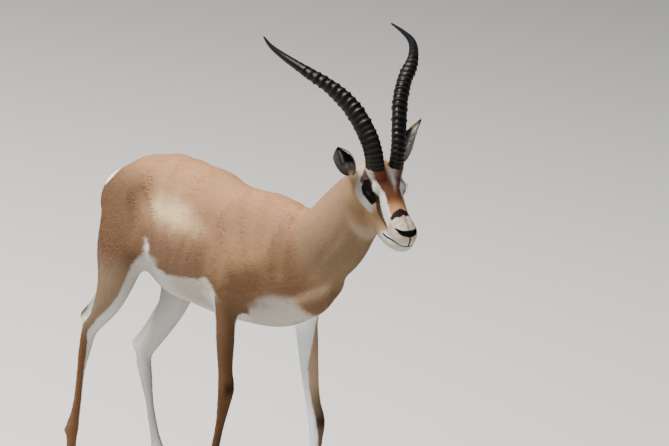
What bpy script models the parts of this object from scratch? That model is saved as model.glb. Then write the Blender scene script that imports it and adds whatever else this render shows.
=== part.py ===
"""A life-size Grant's gazelle ram, standing in mid stride with its head turned a little to its right.

Metres, +Z up, +X ahead of the chest, +Y the animal's left. The flesh is one form, made of tubes round
the spine, neck, skull and legs, and is parted into its named pieces with thin cuts.
"""

import math

import bmesh
import bpy
import numpy as np
from mathutils import Matrix, Vector

GAP = 0.0004  # between neighbouring pieces
SCRAP = 0.025  # anything the cuts leave that is smaller than this is dropped
FLESH_VOXEL = 0.0065
FLESH_TRIANGLES = 3900
CENTRE_SHIFT = Vector((-0.1852, -0.0296, 0.0))  # puts the middle of the bounding box over the origin

UP = Vector((0, 0, 1))
AHEAD = Vector((1, 0, 0))

# The head's own frame: x along the bridge of the nose, y its left, z out of the forehead,
# with its origin midway between the eyes.
HEAD = (
    Matrix.Translation((0.658, -0.030, 0.987))
    @ Matrix.Rotation(math.radians(-16.6), 4, "Z")
    @ Matrix.Rotation(math.radians(29.1), 4, "Y")
    @ Matrix.Rotation(math.radians(7.5), 4, "X")
)

# Each row: x, y, z of a section's centre, then its reach above, below and to each side.
TRUNK = [
    (-0.388, 0.000, 0.765, 0.020, 0.035, 0.030),
    (-0.355, 0.000, 0.768, 0.058, 0.065, 0.062),
    (-0.290, 0.000, 0.770, 0.090, 0.080, 0.092),
    (-0.215, 0.000, 0.775, 0.119, 0.095, 0.106),
    (-0.150, 0.000, 0.755, 0.154, 0.130, 0.112),
    (-0.080, 0.000, 0.725, 0.186, 0.180, 0.122),
    (0.010, 0.000, 0.705, 0.195, 0.170, 0.131),
    (0.110, 0.000, 0.700, 0.185, 0.170, 0.128),
    (0.200, 0.000, 0.700, 0.187, 0.168, 0.114),
    (0.290, 0.000, 0.705, 0.172, 0.163, 0.098),
    (0.380, 0.000, 0.705, 0.135, 0.135, 0.080),
    (0.440, 0.000, 0.700, 0.095, 0.095, 0.060),
    (0.478, 0.000, 0.700, 0.055, 0.050, 0.035),
]
NECK = [
    (0.300, 0.000, 0.745, 0.105, 0.100, 0.075),
    (0.390, 0.000, 0.785, 0.106, 0.118, 0.078),
    (0.455, 0.000, 0.832, 0.097, 0.121, 0.072),
    (0.508, -0.004, 0.890, 0.090, 0.108, 0.063),
    (0.552, -0.010, 0.945, 0.078, 0.092, 0.055),
    (0.590, -0.018, 0.985, 0.055, 0.065, 0.045),
]
# In the head's frame
SKULL = [
    (0.166, 0.000, -0.026, 0.012, 0.014, 0.0150),
    (0.158, 0.000, -0.027, 0.023, 0.024, 0.0255),
    (0.140, 0.000, -0.029, 0.033, 0.028, 0.0320),
    (0.115, 0.000, -0.029, 0.039, 0.030, 0.0335),
    (0.085, 0.000, -0.027, 0.043, 0.034, 0.0330),
    (0.050, 0.000, -0.024, 0.049, 0.042, 0.0365),
    (0.015, 0.000, -0.019, 0.053, 0.056, 0.0410),
    (-0.025, 0.000, -0.012, 0.058, 0.070, 0.0450),
    (-0.060, 0.000, -0.008, 0.054, 0.074, 0.0460),
    (-0.095, 0.000, -0.010, 0.042, 0.062, 0.0400),
    (-0.120, 0.000, -0.015, 0.020, 0.032, 0.0250),
]
JAW = [
    (0.157, 0.000, -0.055, 0.010, 0.013, 0.0170),
    (0.146, 0.000, -0.059, 0.017, 0.022, 0.0285),
    (0.115, 0.000, -0.063, 0.022, 0.033, 0.0350),
    (0.075, 0.000, -0.066, 0.028, 0.042, 0.0370),
    (0.035, 0.000, -0.067, 0.032, 0.046, 0.0390),
    (-0.010, 0.000, -0.066, 0.036, 0.046, 0.0395),
    (-0.055, 0.000, -0.062, 0.038, 0.046, 0.0405),
    (-0.080, 0.000, -0.050, 0.030, 0.040, 0.0340),
]

# The lines of the legs, top to bottom, and the reach ahead, behind and to each side that
# the left and right legs share.
FORE_LINES = {
    "left": [
        (0.325, 0.070, 0.690), (0.302, 0.086, 0.620), (0.297, 0.090, 0.570), (0.311, 0.088, 0.520),
        (0.333, 0.084, 0.440), (0.365, 0.079, 0.352), (0.384, 0.077, 0.312), (0.389, 0.0765, 0.272),
        (0.3945, 0.0755, 0.222), (0.399, 0.075, 0.175), (0.404, 0.0745, 0.125), (0.408, 0.074, 0.089),
        (0.424, 0.0735, 0.062), (0.440, 0.073, 0.0335),
    ],
    "right": [
        (0.235, -0.075, 0.720), (0.195, -0.088, 0.655), (0.183, -0.090, 0.605), (0.187, -0.089, 0.550),
        (0.193, -0.088, 0.480), (0.201, -0.086, 0.410), (0.207, -0.085, 0.372), (0.203, -0.083, 0.335),
        (0.193, -0.081, 0.270), (0.184, -0.080, 0.213), (0.177, -0.079, 0.160), (0.173, -0.078, 0.125),
        (0.174, -0.0775, 0.084), (0.176, -0.077, 0.0455),
    ],
}
FORE_REACH = [
    (0.060, 0.085, 0.045), (0.055, 0.070, 0.040), (0.040, 0.048, 0.033), (0.032, 0.034, 0.0290),
    (0.026, 0.026, 0.0240), (0.0205, 0.021, 0.0205), (0.0240, 0.0225, 0.0225), (0.019, 0.020, 0.0195),
    (0.0128, 0.0145, 0.0130), (0.0120, 0.0140, 0.0125), (0.0140, 0.0160, 0.0140), (0.0175, 0.0205, 0.0175),
    (0.0135, 0.0150, 0.0145), (0.0150, 0.0145, 0.0175),
]
HIND_LINES = {
    "left": [
        (-0.255, 0.055, 0.800), (-0.230, 0.080, 0.720), (-0.210, 0.094, 0.650), (-0.198, 0.099, 0.585),
        (-0.200, 0.098, 0.530), (-0.222, 0.093, 0.455), (-0.250, 0.085, 0.390), (-0.284, 0.077, 0.328),
        (-0.268, 0.0755, 0.275), (-0.244, 0.0735, 0.213), (-0.225, 0.072, 0.165), (-0.203, 0.071, 0.115),
        (-0.189, 0.070, 0.088), (-0.171, 0.0695, 0.061), (-0.153, 0.069, 0.0335),
    ],
    "right": [
        (-0.255, -0.055, 0.800), (-0.235, -0.080, 0.720), (-0.226, -0.092, 0.655), (-0.227, -0.097, 0.595),
        (-0.237, -0.098, 0.545), (-0.262, -0.097, 0.485), (-0.292, -0.094, 0.440), (-0.322, -0.090, 0.405),
        (-0.337, -0.088, 0.350), (-0.3485, -0.086, 0.277), (-0.353, -0.084, 0.205), (-0.361, -0.082, 0.155),
        (-0.367, -0.081, 0.126), (-0.367, -0.080, 0.085), (-0.366, -0.079, 0.0455),
    ],
}
HIND_REACH = [
    (0.100, 0.080, 0.050), (0.105, 0.095, 0.052), (0.094, 0.092, 0.055), (0.078, 0.078, 0.048),
    (0.058, 0.056, 0.042), (0.040, 0.036, 0.033), (0.026, 0.024, 0.026), (0.022, 0.024, 0.0215),
    (0.0175, 0.0185, 0.0185), (0.0122, 0.0130, 0.0125), (0.0122, 0.0130, 0.0125), (0.0150, 0.0160, 0.0145),
    (0.0185, 0.0215, 0.0180), (0.0140, 0.0150, 0.0150), (0.0150, 0.0145, 0.0175),
]
HOCK_POINTS = {"left": (-0.322, 0.077, 0.352), "right": (-0.350, -0.090, 0.440)}
CALVES = {"left": (-0.250, 0.090, 0.470), "right": (-0.288, -0.094, 0.520)}
# Each foot's toe-down pitch in degrees: two are flat, two are on the tips of the toes.
PITCHES = {"fore_left": 0, "fore_right": 40, "hind_left": 0, "hind_right": 42}

TAIL = [
    (-0.372, 0.010, 0.775, 0.016, 0.016, 0.018),
    (-0.396, 0.014, 0.760, 0.013, 0.013, 0.016),
    (-0.404, 0.018, 0.715, 0.011, 0.011, 0.014),
    (-0.402, 0.020, 0.650, 0.010, 0.010, 0.012),
    (-0.399, 0.021, 0.600, 0.014, 0.014, 0.016),
    (-0.396, 0.022, 0.560, 0.012, 0.012, 0.013),
    (-0.394, 0.022, 0.530, 0.004, 0.004, 0.005),
]

TAIL_FACING = Vector((0.2, 1, 0))

EYE_AT = Vector((0.000, 0.0360, 0.000))
EYE_RADIUS = 0.0165

# The left horn's line in the head's frame
HORN_LINE = [
    (-0.0305, 0.0285, 0.0455),
    (-0.0375, 0.0305, 0.0640),
    (-0.0600, 0.0368, 0.0980),
    (-0.1005, 0.0480, 0.1272),
    (-0.1530, 0.0665, 0.1505),
    (-0.2115, 0.0980, 0.1650),
    (-0.2810, 0.1475, 0.1715),
    (-0.3520, 0.1765, 0.1610),
    (-0.4230, 0.1825, 0.1370),
    (-0.4750, 0.1765, 0.1195),
]
# Share of the horn's length, then half its section's long and short way there
HORN_SIZES = [
    (0.00, 0.0262, 0.0188),
    (0.20, 0.0258, 0.0184),
    (0.40, 0.0226, 0.0184),
    (0.50, 0.0193, 0.0168),
    (0.60, 0.0152, 0.0138),
    (0.70, 0.0118, 0.0108),
    (0.80, 0.0087, 0.0080),
    (0.90, 0.0055, 0.0050),
    (1.00, 0.0022, 0.0022),
]
HORN_TURN = math.radians(30)  # the long way of the section runs inwards towards the front
PEDICLE_FOOT = (-0.0270, 0.0275, 0.024)
RING_COUNT = 22
RING_RISE = 0.0016
RINGS_START = 0.03  # of the horn's length
RINGS_END = 0.76
RING_SPREAD = 1.35  # above 1 the rings crowd towards the base

# Width is half an ear at its widest, before it is cupped.
EARS = {
    "left": {"base": (-0.090, 0.052, 0.001), "tip": (-0.093, 0.100, 0.140), "mouth": (0.75, 0.55, -0.35), "width": 0.0275},
    "right": {"base": (-0.096, -0.056, -0.013), "tip": (-0.062, -0.129, 0.107), "mouth": (0.80, -0.30, -0.30), "width": 0.0250},
}
EAR_THICKNESS = 0.0028


def smooth_rows(rows, steps):
    """The rows with smooth in-between rows, spaced by the distance between the centres."""
    rows = np.array(rows, float)
    at = np.concatenate([[0], np.cumsum(np.linalg.norm(np.diff(rows[:, :3], axis=0), axis=1))])
    slope = np.diff(rows, axis=0) / np.diff(at)[:, None]
    tangent = np.empty_like(rows)
    tangent[0], tangent[-1] = slope[0], slope[-1]
    span = np.diff(at)
    tangent[1:-1] = (slope[:-1] * span[1:, None] + slope[1:] * span[:-1, None]) / (span[:-1] + span[1:])[:, None]
    result = []
    for i in range(len(rows) - 1):
        h = at[i + 1] - at[i]
        for step in range(steps):
            t = step / steps
            result.append(
                (2 * t**3 - 3 * t**2 + 1) * rows[i]
                + (t**3 - 2 * t**2 + t) * h * tangent[i]
                + (3 * t**2 - 2 * t**3) * rows[i + 1]
                + (t**3 - t**2) * h * tangent[i + 1]
            )
    result.append(rows[-1])
    return np.array(result)


def directions(centres):
    ahead = np.gradient(centres, axis=0)
    return ahead / np.linalg.norm(ahead, axis=1)[:, None]


def tube(form, rows, facing, steps=3, sides=20, dome=0.6, foot_dome=None):
    """Add to the bmesh a closed tube through the rows, whose reach is given towards the facing
    direction, away from it and to each side. Dome is how far its ends bulge, foot_dome the first's."""
    foot_dome = dome if foot_dome is None else foot_dome
    rows = smooth_rows(rows, steps)
    along = directions(rows[:, :3])
    first, last = rows[0], rows[-1]
    rings = []
    for lean in (66, 33):
        rings.append((first, along[0], -math.sin(math.radians(lean)) * foot_dome, math.cos(math.radians(lean))))
    rings += [(row, a, 0.0, 1.0) for row, a in zip(rows, along)]
    for lean in (33, 66):
        rings.append((last, along[-1], math.sin(math.radians(lean)) * dome, math.cos(math.radians(lean))))
    loops = []
    for row, a, push, scale in rings:
        a = Vector(a)
        front = (facing - a * facing.dot(a)).normalized()
        side = a.cross(front)
        centre = Vector(row[:3]) + a * push * min(row[3:6])
        loop = []
        for k in range(sides):
            turn = 2 * math.pi * k / sides
            reach = row[3] if math.cos(turn) > 0 else row[4]
            spot = centre + (front * math.cos(turn) * reach + side * math.sin(turn) * row[5]) * scale
            loop.append(form.verts.new(spot))
        loops.append(loop)
    bridge(form, loops)
    for row, a, loop, push in ((first, along[0], loops[0], -foot_dome), (last, along[-1], loops[-1], dome)):
        tip = form.verts.new(Vector(row[:3]) + Vector(a) * push * min(row[3:6]))
        fan(form, loop, tip, push)


def bridge(form, loops):
    for lower, upper in zip(loops, loops[1:]):
        for k in range(len(lower)):
            m = (k + 1) % len(lower)
            form.faces.new((lower[k], lower[m], upper[m], upper[k]))


def fan(form, loop, tip, sign):
    for k in range(len(loop)):
        m = (k + 1) % len(loop)
        form.faces.new((loop[k], loop[m], tip) if sign > 0 else (loop[m], loop[k], tip))


def blob(form, place, radii, turn=0.0, tilt=0.0):
    """Add an ellipsoid, turned about Z and then tipped about Y, in degrees."""
    stand = (
        Matrix.Translation(place)
        @ Matrix.Rotation(math.radians(turn), 4, "Z")
        @ Matrix.Rotation(math.radians(tilt), 4, "Y")
        @ Matrix.Diagonal((*radii, 1))
    )
    bmesh.ops.create_icosphere(form, subdivisions=3, radius=1.0, matrix=stand)


def object_from(form, name, place=None):
    if place is not None:
        form.transform(place)
    bmesh.ops.recalc_face_normals(form, faces=form.faces)
    mesh = bpy.data.meshes.new(name)
    form.to_mesh(mesh)
    form.free()
    thing = bpy.data.objects.new(name, mesh)
    bpy.context.scene.collection.objects.link(thing)
    return thing


def settled(thing):
    """Bake the object's modifiers into its mesh."""
    graph = bpy.context.evaluated_depsgraph_get()
    mesh = bpy.data.meshes.new_from_object(thing.evaluated_get(graph))
    old = thing.data
    thing.modifiers.clear()
    thing.data = mesh
    bpy.data.meshes.remove(old)
    return thing


def leg_rows(line, reach):
    return [(*spot, *size) for spot, size in zip(line, reach)]


def body_form():
    form = bmesh.new()
    tube(form, TRUNK, UP)
    tube(form, NECK, Vector((-0.7, 0, 0.7)))
    for side in ("left", "right"):
        sign = 1 if side == "left" else -1
        fore, hind = FORE_LINES[side], HIND_LINES[side]
        tube(form, leg_rows(fore, FORE_REACH), AHEAD, sides=16)
        tube(form, leg_rows(hind, HIND_REACH), AHEAD, sides=16)
        # The hock's point and the tendon that runs down to it
        calf, point, hock = CALVES[side], HOCK_POINTS[side], hind[7]
        halfway = [(a + b) / 2 for a, b in zip(calf, point)]
        tube(form, [
            (*calf, 0.034, 0.011, 0.013), (*halfway, 0.040, 0.009, 0.0090), (*point, 0.020, 0.011, 0.0115),
        ], AHEAD, steps=4, sides=12)
        tube(form, [(*point, 0.0125, 0.0125, 0.0125), (*hock, 0.018, 0.018, 0.019)], UP, steps=3, sides=12)
        # The shoulder blade and the muscle from it to the elbow
        top = (fore[0][0] - 0.060, sign * 0.048, 0.845)
        joint = (fore[0][0] + 0.045, sign * 0.083, fore[0][2] - 0.015)
        elbow = (fore[2][0] - 0.020, fore[2][1], fore[2][2] + 0.030)
        tube(form, [
            (*top, 0.035, 0.045, 0.028),
            (*[(a + b) / 2 for a, b in zip(top, joint)], 0.052, 0.060, 0.036),
            (*joint, 0.045, 0.045, 0.032),
        ], AHEAD, steps=4)
        tube(form, [(*joint, 0.036, 0.036, 0.030), (*elbow, 0.030, 0.032, 0.028)], AHEAD, steps=4)
        # The hip's corner, the buttock and the dewclaws
        blob(form, (-0.155, sign * 0.078, 0.834), (0.060, 0.026, 0.034), turn=sign * 12, tilt=12)
        blob(form, (-0.325, sign * 0.052, 0.745), (0.044, 0.034, 0.060))
        for leg, at in ((fore, 11), (hind, 12)):
            fetlock, next_down = Vector(leg[at]), Vector(leg[at + 1])
            down = (next_down - fetlock).normalized()
            behind = (down * AHEAD.dot(down) - AHEAD).normalized()
            for hand in (-1, 1):
                blob(form, fetlock + behind * 0.020 + down * 0.010 + Vector((0, 0.0095 * hand, 0)), (0.0065, 0.0055, 0.0085))
    blob(form, (-0.075, 0, 0.552), (0.055, 0.020, 0.020), tilt=4)
    blob(form, (-0.192, 0, 0.632), (0.028, 0.024, 0.036))
    return form


def head_form():
    form = bmesh.new()
    tube(form, SKULL, UP, sides=24, dome=0.5)
    tube(form, JAW, UP, sides=24, dome=0.6)
    for sign in (-1, 1):
        blob(form, (0.000, sign * 0.0340, 0.010), (0.026, 0.0150, 0.021), turn=sign * 6)
        blob(form, (-0.040, sign * 0.0280, -0.045), (0.042, 0.0150, 0.034))
        blob(form, (0.146, sign * 0.0145, -0.014), (0.016, 0.0085, 0.012), turn=sign * -14)
        foot, start = (Vector((p[0], p[1] * sign, p[2])) for p in (PEDICLE_FOOT, HORN_LINE[0]))
        long, short = (size * 0.9 for size in HORN_SIZES[0][1:])
        tube(form, [(*spot, long, long, short) for spot in (foot, foot.lerp(start, 1.2))], horn_facing(sign), dome=0.2)
        ear = EARS["left" if sign > 0 else "right"]
        root, tip = Vector(ear["base"]), Vector(ear["tip"])
        tube(form, [
            (*root.lerp(tip, -0.22), 0.022, 0.022, 0.022),
            (*root.lerp(tip, 0.07), 0.0185, 0.0185, 0.0185),
        ], AHEAD, dome=0.3)
    return form


def relaxed(thing, weight, times, back=0.0):
    """Smooth the mesh, by the weight of each vertex; back undoes some of the shrinking."""
    mesh = thing.data
    count = len(mesh.vertices)
    spots = np.empty(count * 3)
    mesh.vertices.foreach_get("co", spots)
    spots = spots.reshape(-1, 3)
    edges = np.empty(len(mesh.edges) * 2, int)
    mesh.edges.foreach_get("vertices", edges)
    edges = edges.reshape(-1, 2)
    near = np.bincount(edges.ravel(), minlength=count)[:, None]
    pull = weight(spots)[:, None]
    for _ in range(times):
        for share in (0.5, -back):
            if share:
                mean = np.stack([
                    np.bincount(edges[:, 0], spots[edges[:, 1], k], count)
                    + np.bincount(edges[:, 1], spots[edges[:, 0], k], count)
                    for k in range(3)
                ], axis=1) / near
                spots = spots + (mean - spots) * share * pull
    mesh.vertices.foreach_set("co", spots.ravel())
    mesh.update()


def softness(spots):
    """1 on the broad body, less down the legs and on the head."""
    height = np.clip((spots[:, 2] - 0.50) / 0.12, 0, 1)
    head = np.linalg.norm(spots - np.array(HEAD @ Vector((0.03, 0, 0))), axis=1)
    return (0.06 + 0.94 * height) * np.clip((head - 0.10) / 0.08, 0.04, 1)


def make_flesh():
    body = object_from(body_form(), "flesh")
    head = object_from(head_form(), "head_form", HEAD)
    joined = bmesh.new()
    joined.from_mesh(body.data)
    joined.from_mesh(head.data)
    bpy.data.objects.remove(body)
    bpy.data.objects.remove(head)
    flesh = object_from(joined, "flesh")
    remesh = flesh.modifiers.new("remesh", "REMESH")
    remesh.mode = "VOXEL"
    remesh.voxel_size = FLESH_VOXEL
    settled(flesh)
    relaxed(flesh, softness, 60)
    relaxed(flesh, lambda spots: np.ones(len(spots)), 3, back=0.52)
    thin = flesh.modifiers.new("decimate", "DECIMATE")
    thin.ratio = FLESH_TRIANGLES / (2 * len(flesh.data.polygons))
    thin.use_collapse_triangulate = True
    return settled(flesh)


def horn_rows(sign):
    line = [(p[0], p[1] * sign, p[2], 0, 0, 0) for p in HORN_LINE]
    rows = smooth_rows(line, 12)
    length = np.concatenate([[0], np.cumsum(np.linalg.norm(np.diff(rows[:, :3], axis=0), axis=1))])
    return rows[:, :3], length / length[-1]


def horn_size(share):
    """Half the long and half the short way of the horn's section at a share of its length."""
    shares, *halves = zip(*HORN_SIZES)
    return [np.interp(share, shares, half) for half in halves]


def horn_facing(sign):
    return Vector((math.cos(HORN_TURN), -sign * math.sin(HORN_TURN), 0))


def make_horn(name, sign, grow=0.0, last=1.0, rings=True, sides=8):
    spots, share = horn_rows(sign)
    stops = [0.0]
    count = RING_COUNT if rings else 6
    for k in range(2 * count + 1):
        if rings or k % 2 == 0:
            stops.append(RINGS_START + (RINGS_END - RINGS_START) * (k / (2 * count)) ** RING_SPREAD)
    stops += [0.82, 0.88, 0.94, 1.0]
    rows = []
    for k, stop in enumerate(stops):
        if stop > last:
            break
        centre = [np.interp(stop, share, spots[:, axis]) for axis in range(3)]
        depth, width = horn_size(stop)
        crest = rings and RINGS_START < stop < RINGS_END and k % 2 == 0
        rise = (RING_RISE * min(1, (RINGS_END - stop) / 0.25) if crest else 0) + grow
        rows.append((*centre, depth + rise, depth + rise, width + rise))
    form = bmesh.new()
    tube(form, rows, horn_facing(sign), steps=1, sides=sides, dome=0.9, foot_dome=0.1)
    return object_from(form, name, HEAD)


def make_ear(name, side, grow=0.0):
    """A cupped leaf from the root to the tip, open towards the ear's mouth."""
    ear = EARS[side]
    root, tip, mouth = Vector(ear["base"]), Vector(ear["tip"]), Vector(ear["mouth"])
    along = (tip - root).normalized()
    mouth = (mouth - along * mouth.dot(along)).normalized()
    across = along.cross(mouth)
    length = (tip - root).length
    form = bmesh.new()
    rows, columns = 8, 6
    start = -grow / length
    shells = []
    for face in (1, -1):
        shell = []
        for i in range(rows + 1):
            t = start + (1 - start) * i / rows
            wide = max(t, 0)
            half = ear["width"] * max(0.04, math.sin(math.pi * min(1, wide ** 0.62)) ** 0.70, 0.50 * (1 - t) ** 2)
            curl = math.radians(150 - 95 * min(1, t * 1.5) + 20 * t)
            radius = half / curl * 1.7
            bow = mouth * (0.10 * length * math.sin(math.pi * wide))
            reach = max(radius + face * (EAR_THICKNESS / 2 + grow), 0.0006)
            edge = curl + grow / radius
            loop = []
            for k in range(columns + 1):
                turn = edge * (2 * k / columns - 1)
                spot = root + along * length * t - bow
                spot += mouth * (radius - reach * math.cos(turn)) + across * reach * math.sin(turn)
                loop.append(form.verts.new(spot))
            shell.append(loop)
        shells.append(shell)
    outer, inner = shells
    for i in range(rows):
        for k in range(columns):
            form.faces.new((outer[i][k], outer[i][k + 1], outer[i + 1][k + 1], outer[i + 1][k]))
            form.faces.new((inner[i][k + 1], inner[i][k], inner[i + 1][k], inner[i + 1][k + 1]))
        form.faces.new((outer[i][0], outer[i + 1][0], inner[i + 1][0], inner[i][0]))
        form.faces.new((outer[i + 1][columns], outer[i][columns], inner[i][columns], inner[i + 1][columns]))
    for k in range(columns):
        form.faces.new((outer[0][k + 1], outer[0][k], inner[0][k], inner[0][k + 1]))
        form.faces.new((outer[rows][k], outer[rows][k + 1], inner[rows][k + 1], inner[rows][k]))
    return object_from(form, name, HEAD)


def make_eye(name, sign, grow=0.0):
    form = bmesh.new()
    place = Matrix.Translation((EYE_AT.x, EYE_AT.y * sign, EYE_AT.z))
    bmesh.ops.create_icosphere(form, subdivisions=2, radius=EYE_RADIUS + grow, matrix=place)
    return object_from(form, name, HEAD)


CLAW_LENGTH = 0.054
CLAW_HEIGHT = 0.034
CLAW_HALF = 0.0086
CLEFT = 0.0012  # half the gap between the claws


def make_claw(name, foot, hand, grow=0.0):
    """Half of a cloven hoof: a wedge with a rounded outer wall and a flat, upright inner one."""
    limb, side = foot.split("_")
    line = (FORE_LINES if limb == "fore" else HIND_LINES)[side]
    place = Matrix.Translation(line[-1]) @ Matrix.Rotation(math.radians(PITCHES[foot]), 4, "Y")
    heel, toe = -0.010, CLAW_LENGTH - 0.010
    # share of the way from heel to toe: half width at the sole and at the top, and the top's height
    plan = [
        (0.00, 0.55, 0.50, 0.60), (0.18, 0.95, 0.85, 0.76), (0.42, 1.08, 0.90, 0.94),
        (0.62, 1.02, 0.70, 0.98), (0.82, 0.72, 0.38, 0.58), (1.00, 0.22, 0.12, 0.16),
    ]
    form = bmesh.new()
    loops = []
    for share, sole, top, height in plan:
        x = heel + (toe - heel) * share
        lean = -0.010 * height  # the wall leans back towards its top
        z = CLAW_HEIGHT * height
        points = [
            (x, CLEFT, 0), (x, CLEFT + CLAW_HALF * 1.9 * sole, 0),
            (x + lean * 0.5, CLEFT + CLAW_HALF * (1.7 * sole + 0.2 * top), z * 0.55),
            (x + lean, CLEFT + CLAW_HALF * 1.6 * top, z), (x + lean, CLEFT, z),
        ]
        loop = []
        for px, py, pz in points:
            middle = CLEFT + CLAW_HALF * sole
            wide = grow if py > middle else -min(grow, CLEFT * 0.5)
            tall = grow if pz > 0.5 * z else -grow
            long = grow * (1 if share > 0.9 else -1 if share < 0.1 else 0)
            loop.append(form.verts.new((px + long, (py + wide) * hand, pz + tall - CLAW_HEIGHT)))
        loops.append(loop)
    bridge(form, loops)
    form.faces.new(loops[0])
    form.faces.new(list(reversed(loops[-1])))
    bmesh.ops.triangulate(form, faces=form.faces)
    form.transform(place)
    if not grow:
        cut = bmesh.ops.bisect_plane(form, geom=form.verts[:] + form.edges[:] + form.faces[:],
                                     plane_co=(0, 0, 0), plane_no=(0, 0, -1), clear_outer=True)
        rim = [item for item in cut["geom_cut"] if isinstance(item, bmesh.types.BMEdge)]
        if rim:
            bmesh.ops.contextual_create(form, geom=rim)
            bmesh.ops.triangulate(form, faces=form.faces)
    return object_from(form, name)


def slab(form, centre, normal, wide, tall, spin=UP):
    """A thin box across the flesh. Wide is its half size along spin, tall at right angles to it."""
    normal = Vector(normal).normalized()
    first = (Vector(spin) - normal * Vector(spin).dot(normal)).normalized()
    second = normal.cross(first)
    place = Matrix((
        (*(first[k] for k in range(1)), second[0], normal[0], centre[0]),
        (first[1], second[1], normal[1], centre[1]),
        (first[2], second[2], normal[2], centre[2]),
        (0, 0, 0, 1),
    )) @ Matrix.Diagonal((wide * 2, tall * 2, GAP, 1))
    bmesh.ops.create_cube(form, size=1.0, matrix=place)


def cutting_slabs():
    form = bmesh.new()
    slab(form, (0.425, 0, 0.795), (0.75, 0, 0.66), 0.17, 0.15)
    middle = HEAD @ Vector((-0.065, 0, -0.046))
    slab(form, middle, HEAD.to_3x3() @ Vector((0.797, 0, 0.604)), 0.15, 0.12, HEAD.to_3x3() @ UP)
    for side in ("left", "right"):
        sign = 1 if side == "left" else -1
        fore, hind = FORE_LINES[side], HIND_LINES[side]
        elbow = Vector(fore[2]).lerp(Vector(fore[3]), 0.60)
        slab(form, elbow, (0, -sign * 0.80, 0.60), 0.080, 0.075, (0, sign * 0.60, 0.80))
        front, back = (-0.100, 0.572) if side == "left" else (-0.118, 0.580)
        middle = Vector(((front - 0.375) / 2, sign * 0.105, (back + 0.694) / 2))
        run = Vector((-0.375 - front, 0, 0.694 - back))
        slab(form, middle, run.cross(Vector((0, sign * 0.87, 0.50))), run.length / 2, 0.090, run)
        for line, marks in ((fore, ((6, 0.75, 0.036), (10, 0.5, 0.026))), (hind, ((7, 0.90, 0.034), (11, 0.4, 0.026)))):
            for at, share, size in marks:
                upper, lower = Vector(line[at]), Vector(line[at + 1])
                slab(form, upper.lerp(lower, share), lower - upper, size, size, AHEAD)
    return object_from(form, "slabs")


def hidden_cutter(thing):
    thing.hide_render = True
    thing.display_type = "WIRE"
    return thing


FEET = ("fore_left", "fore_right", "hind_left", "hind_right")


def part_flesh(flesh):
    tools = [cutting_slabs()]
    for side, sign in (("left", 1), ("right", -1)):
        tools.append(make_horn("horn_socket_" + side, sign, GAP, 0.5, rings=False))
        tools.append(make_eye("eye_socket_" + side, sign, GAP))
        tools.append(make_ear("ear_socket_" + side, side, 2.5 * GAP))
    for foot in FEET:
        for hand in (-1, 1):
            tools.append(make_claw(f"claw_socket_{foot}_{hand}", foot, hand, GAP))
    form = bmesh.new()
    tube(form, [(*row[:3], row[3] + GAP, row[4] + GAP, row[5] + GAP) for row in TAIL], TAIL_FACING, steps=2, sides=8)
    tools.append(object_from(form, "tail_socket"))
    for tool in tools:
        hidden_cutter(tool)
        cut = flesh.modifiers.new(tool.name, "BOOLEAN")
        cut.operation = "DIFFERENCE"
        cut.solver = "EXACT"
        cut.object = tool
    settled(flesh)
    for tool in tools:
        bpy.data.objects.remove(tool)


def landmarks():
    marks = {
        "trunk": Vector((0.02, 0, 0.73)),
        "neck": Vector((0.50, 0, 0.88)),
        "head": HEAD @ Vector((0.03, 0, -0.02)),
    }
    for side in ("left", "right"):
        fore = [Vector(p) for p in FORE_LINES[side]]
        hind = [Vector(p) for p in HIND_LINES[side]]
        marks["foreleg_" + side] = fore[4]
        marks["fore_cannon_" + side] = fore[9]
        marks["fore_foot_" + side] = fore[12]
        marks["gaskin_" + side] = hind[5]
        marks["hind_cannon_" + side] = hind[9]
        marks["hind_foot_" + side] = hind[13]
    return marks


def loose_pieces(mesh):
    form = bmesh.new()
    form.from_mesh(mesh)
    form.verts.ensure_lookup_table()
    seen, pieces = set(), []
    for start in form.verts:
        if start.index in seen:
            continue
        seen.add(start.index)
        stack, group = [start], []
        while stack:
            vertex = stack.pop()
            group.append(vertex.index)
            for edge in vertex.link_edges:
                other = edge.other_vert(vertex)
                if other.index not in seen:
                    seen.add(other.index)
                    stack.append(other)
        pieces.append(set(group))
    form.free()
    return pieces


def name_pieces(flesh):
    pieces = loose_pieces(flesh.data)
    spots = [vertex.co.copy() for vertex in flesh.data.vertices]
    middles, sizes = [], []
    for piece in pieces:
        low = Vector([min(spots[i][k] for i in piece) for k in range(3)])
        high = Vector([max(spots[i][k] for i in piece) for k in range(3)])
        middles.append((low + high) / 2)
        sizes.append((high - low).length)
    whole = [k for k, size in enumerate(sizes) if size > SCRAP]
    pieces, middles = [pieces[k] for k in whole], [middles[k] for k in whole]
    taken = set()
    for name, mark in landmarks().items():
        best = min(range(len(pieces)), key=lambda k: (middles[k] - mark).length)
        if best in taken:
            raise ValueError("two names for one piece: " + name)
        taken.add(best)
        form = bmesh.new()
        form.from_mesh(flesh.data)
        form.verts.ensure_lookup_table()
        bmesh.ops.delete(form, geom=[v for v in form.verts if v.index not in pieces[best]], context="VERTS")
        bmesh.ops.dissolve_degenerate(form, dist=1e-5, edges=form.edges)
        bmesh.ops.triangulate(form, faces=form.faces)
        object_from(form, name)
    if len(taken) != len(pieces):
        raise ValueError(f"{len(pieces)} pieces for {len(taken)} names")
    bpy.data.objects.remove(flesh)


for thing in list(bpy.data.objects):
    bpy.data.objects.remove(thing)

flesh = make_flesh()
part_flesh(flesh)
name_pieces(flesh)

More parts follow.
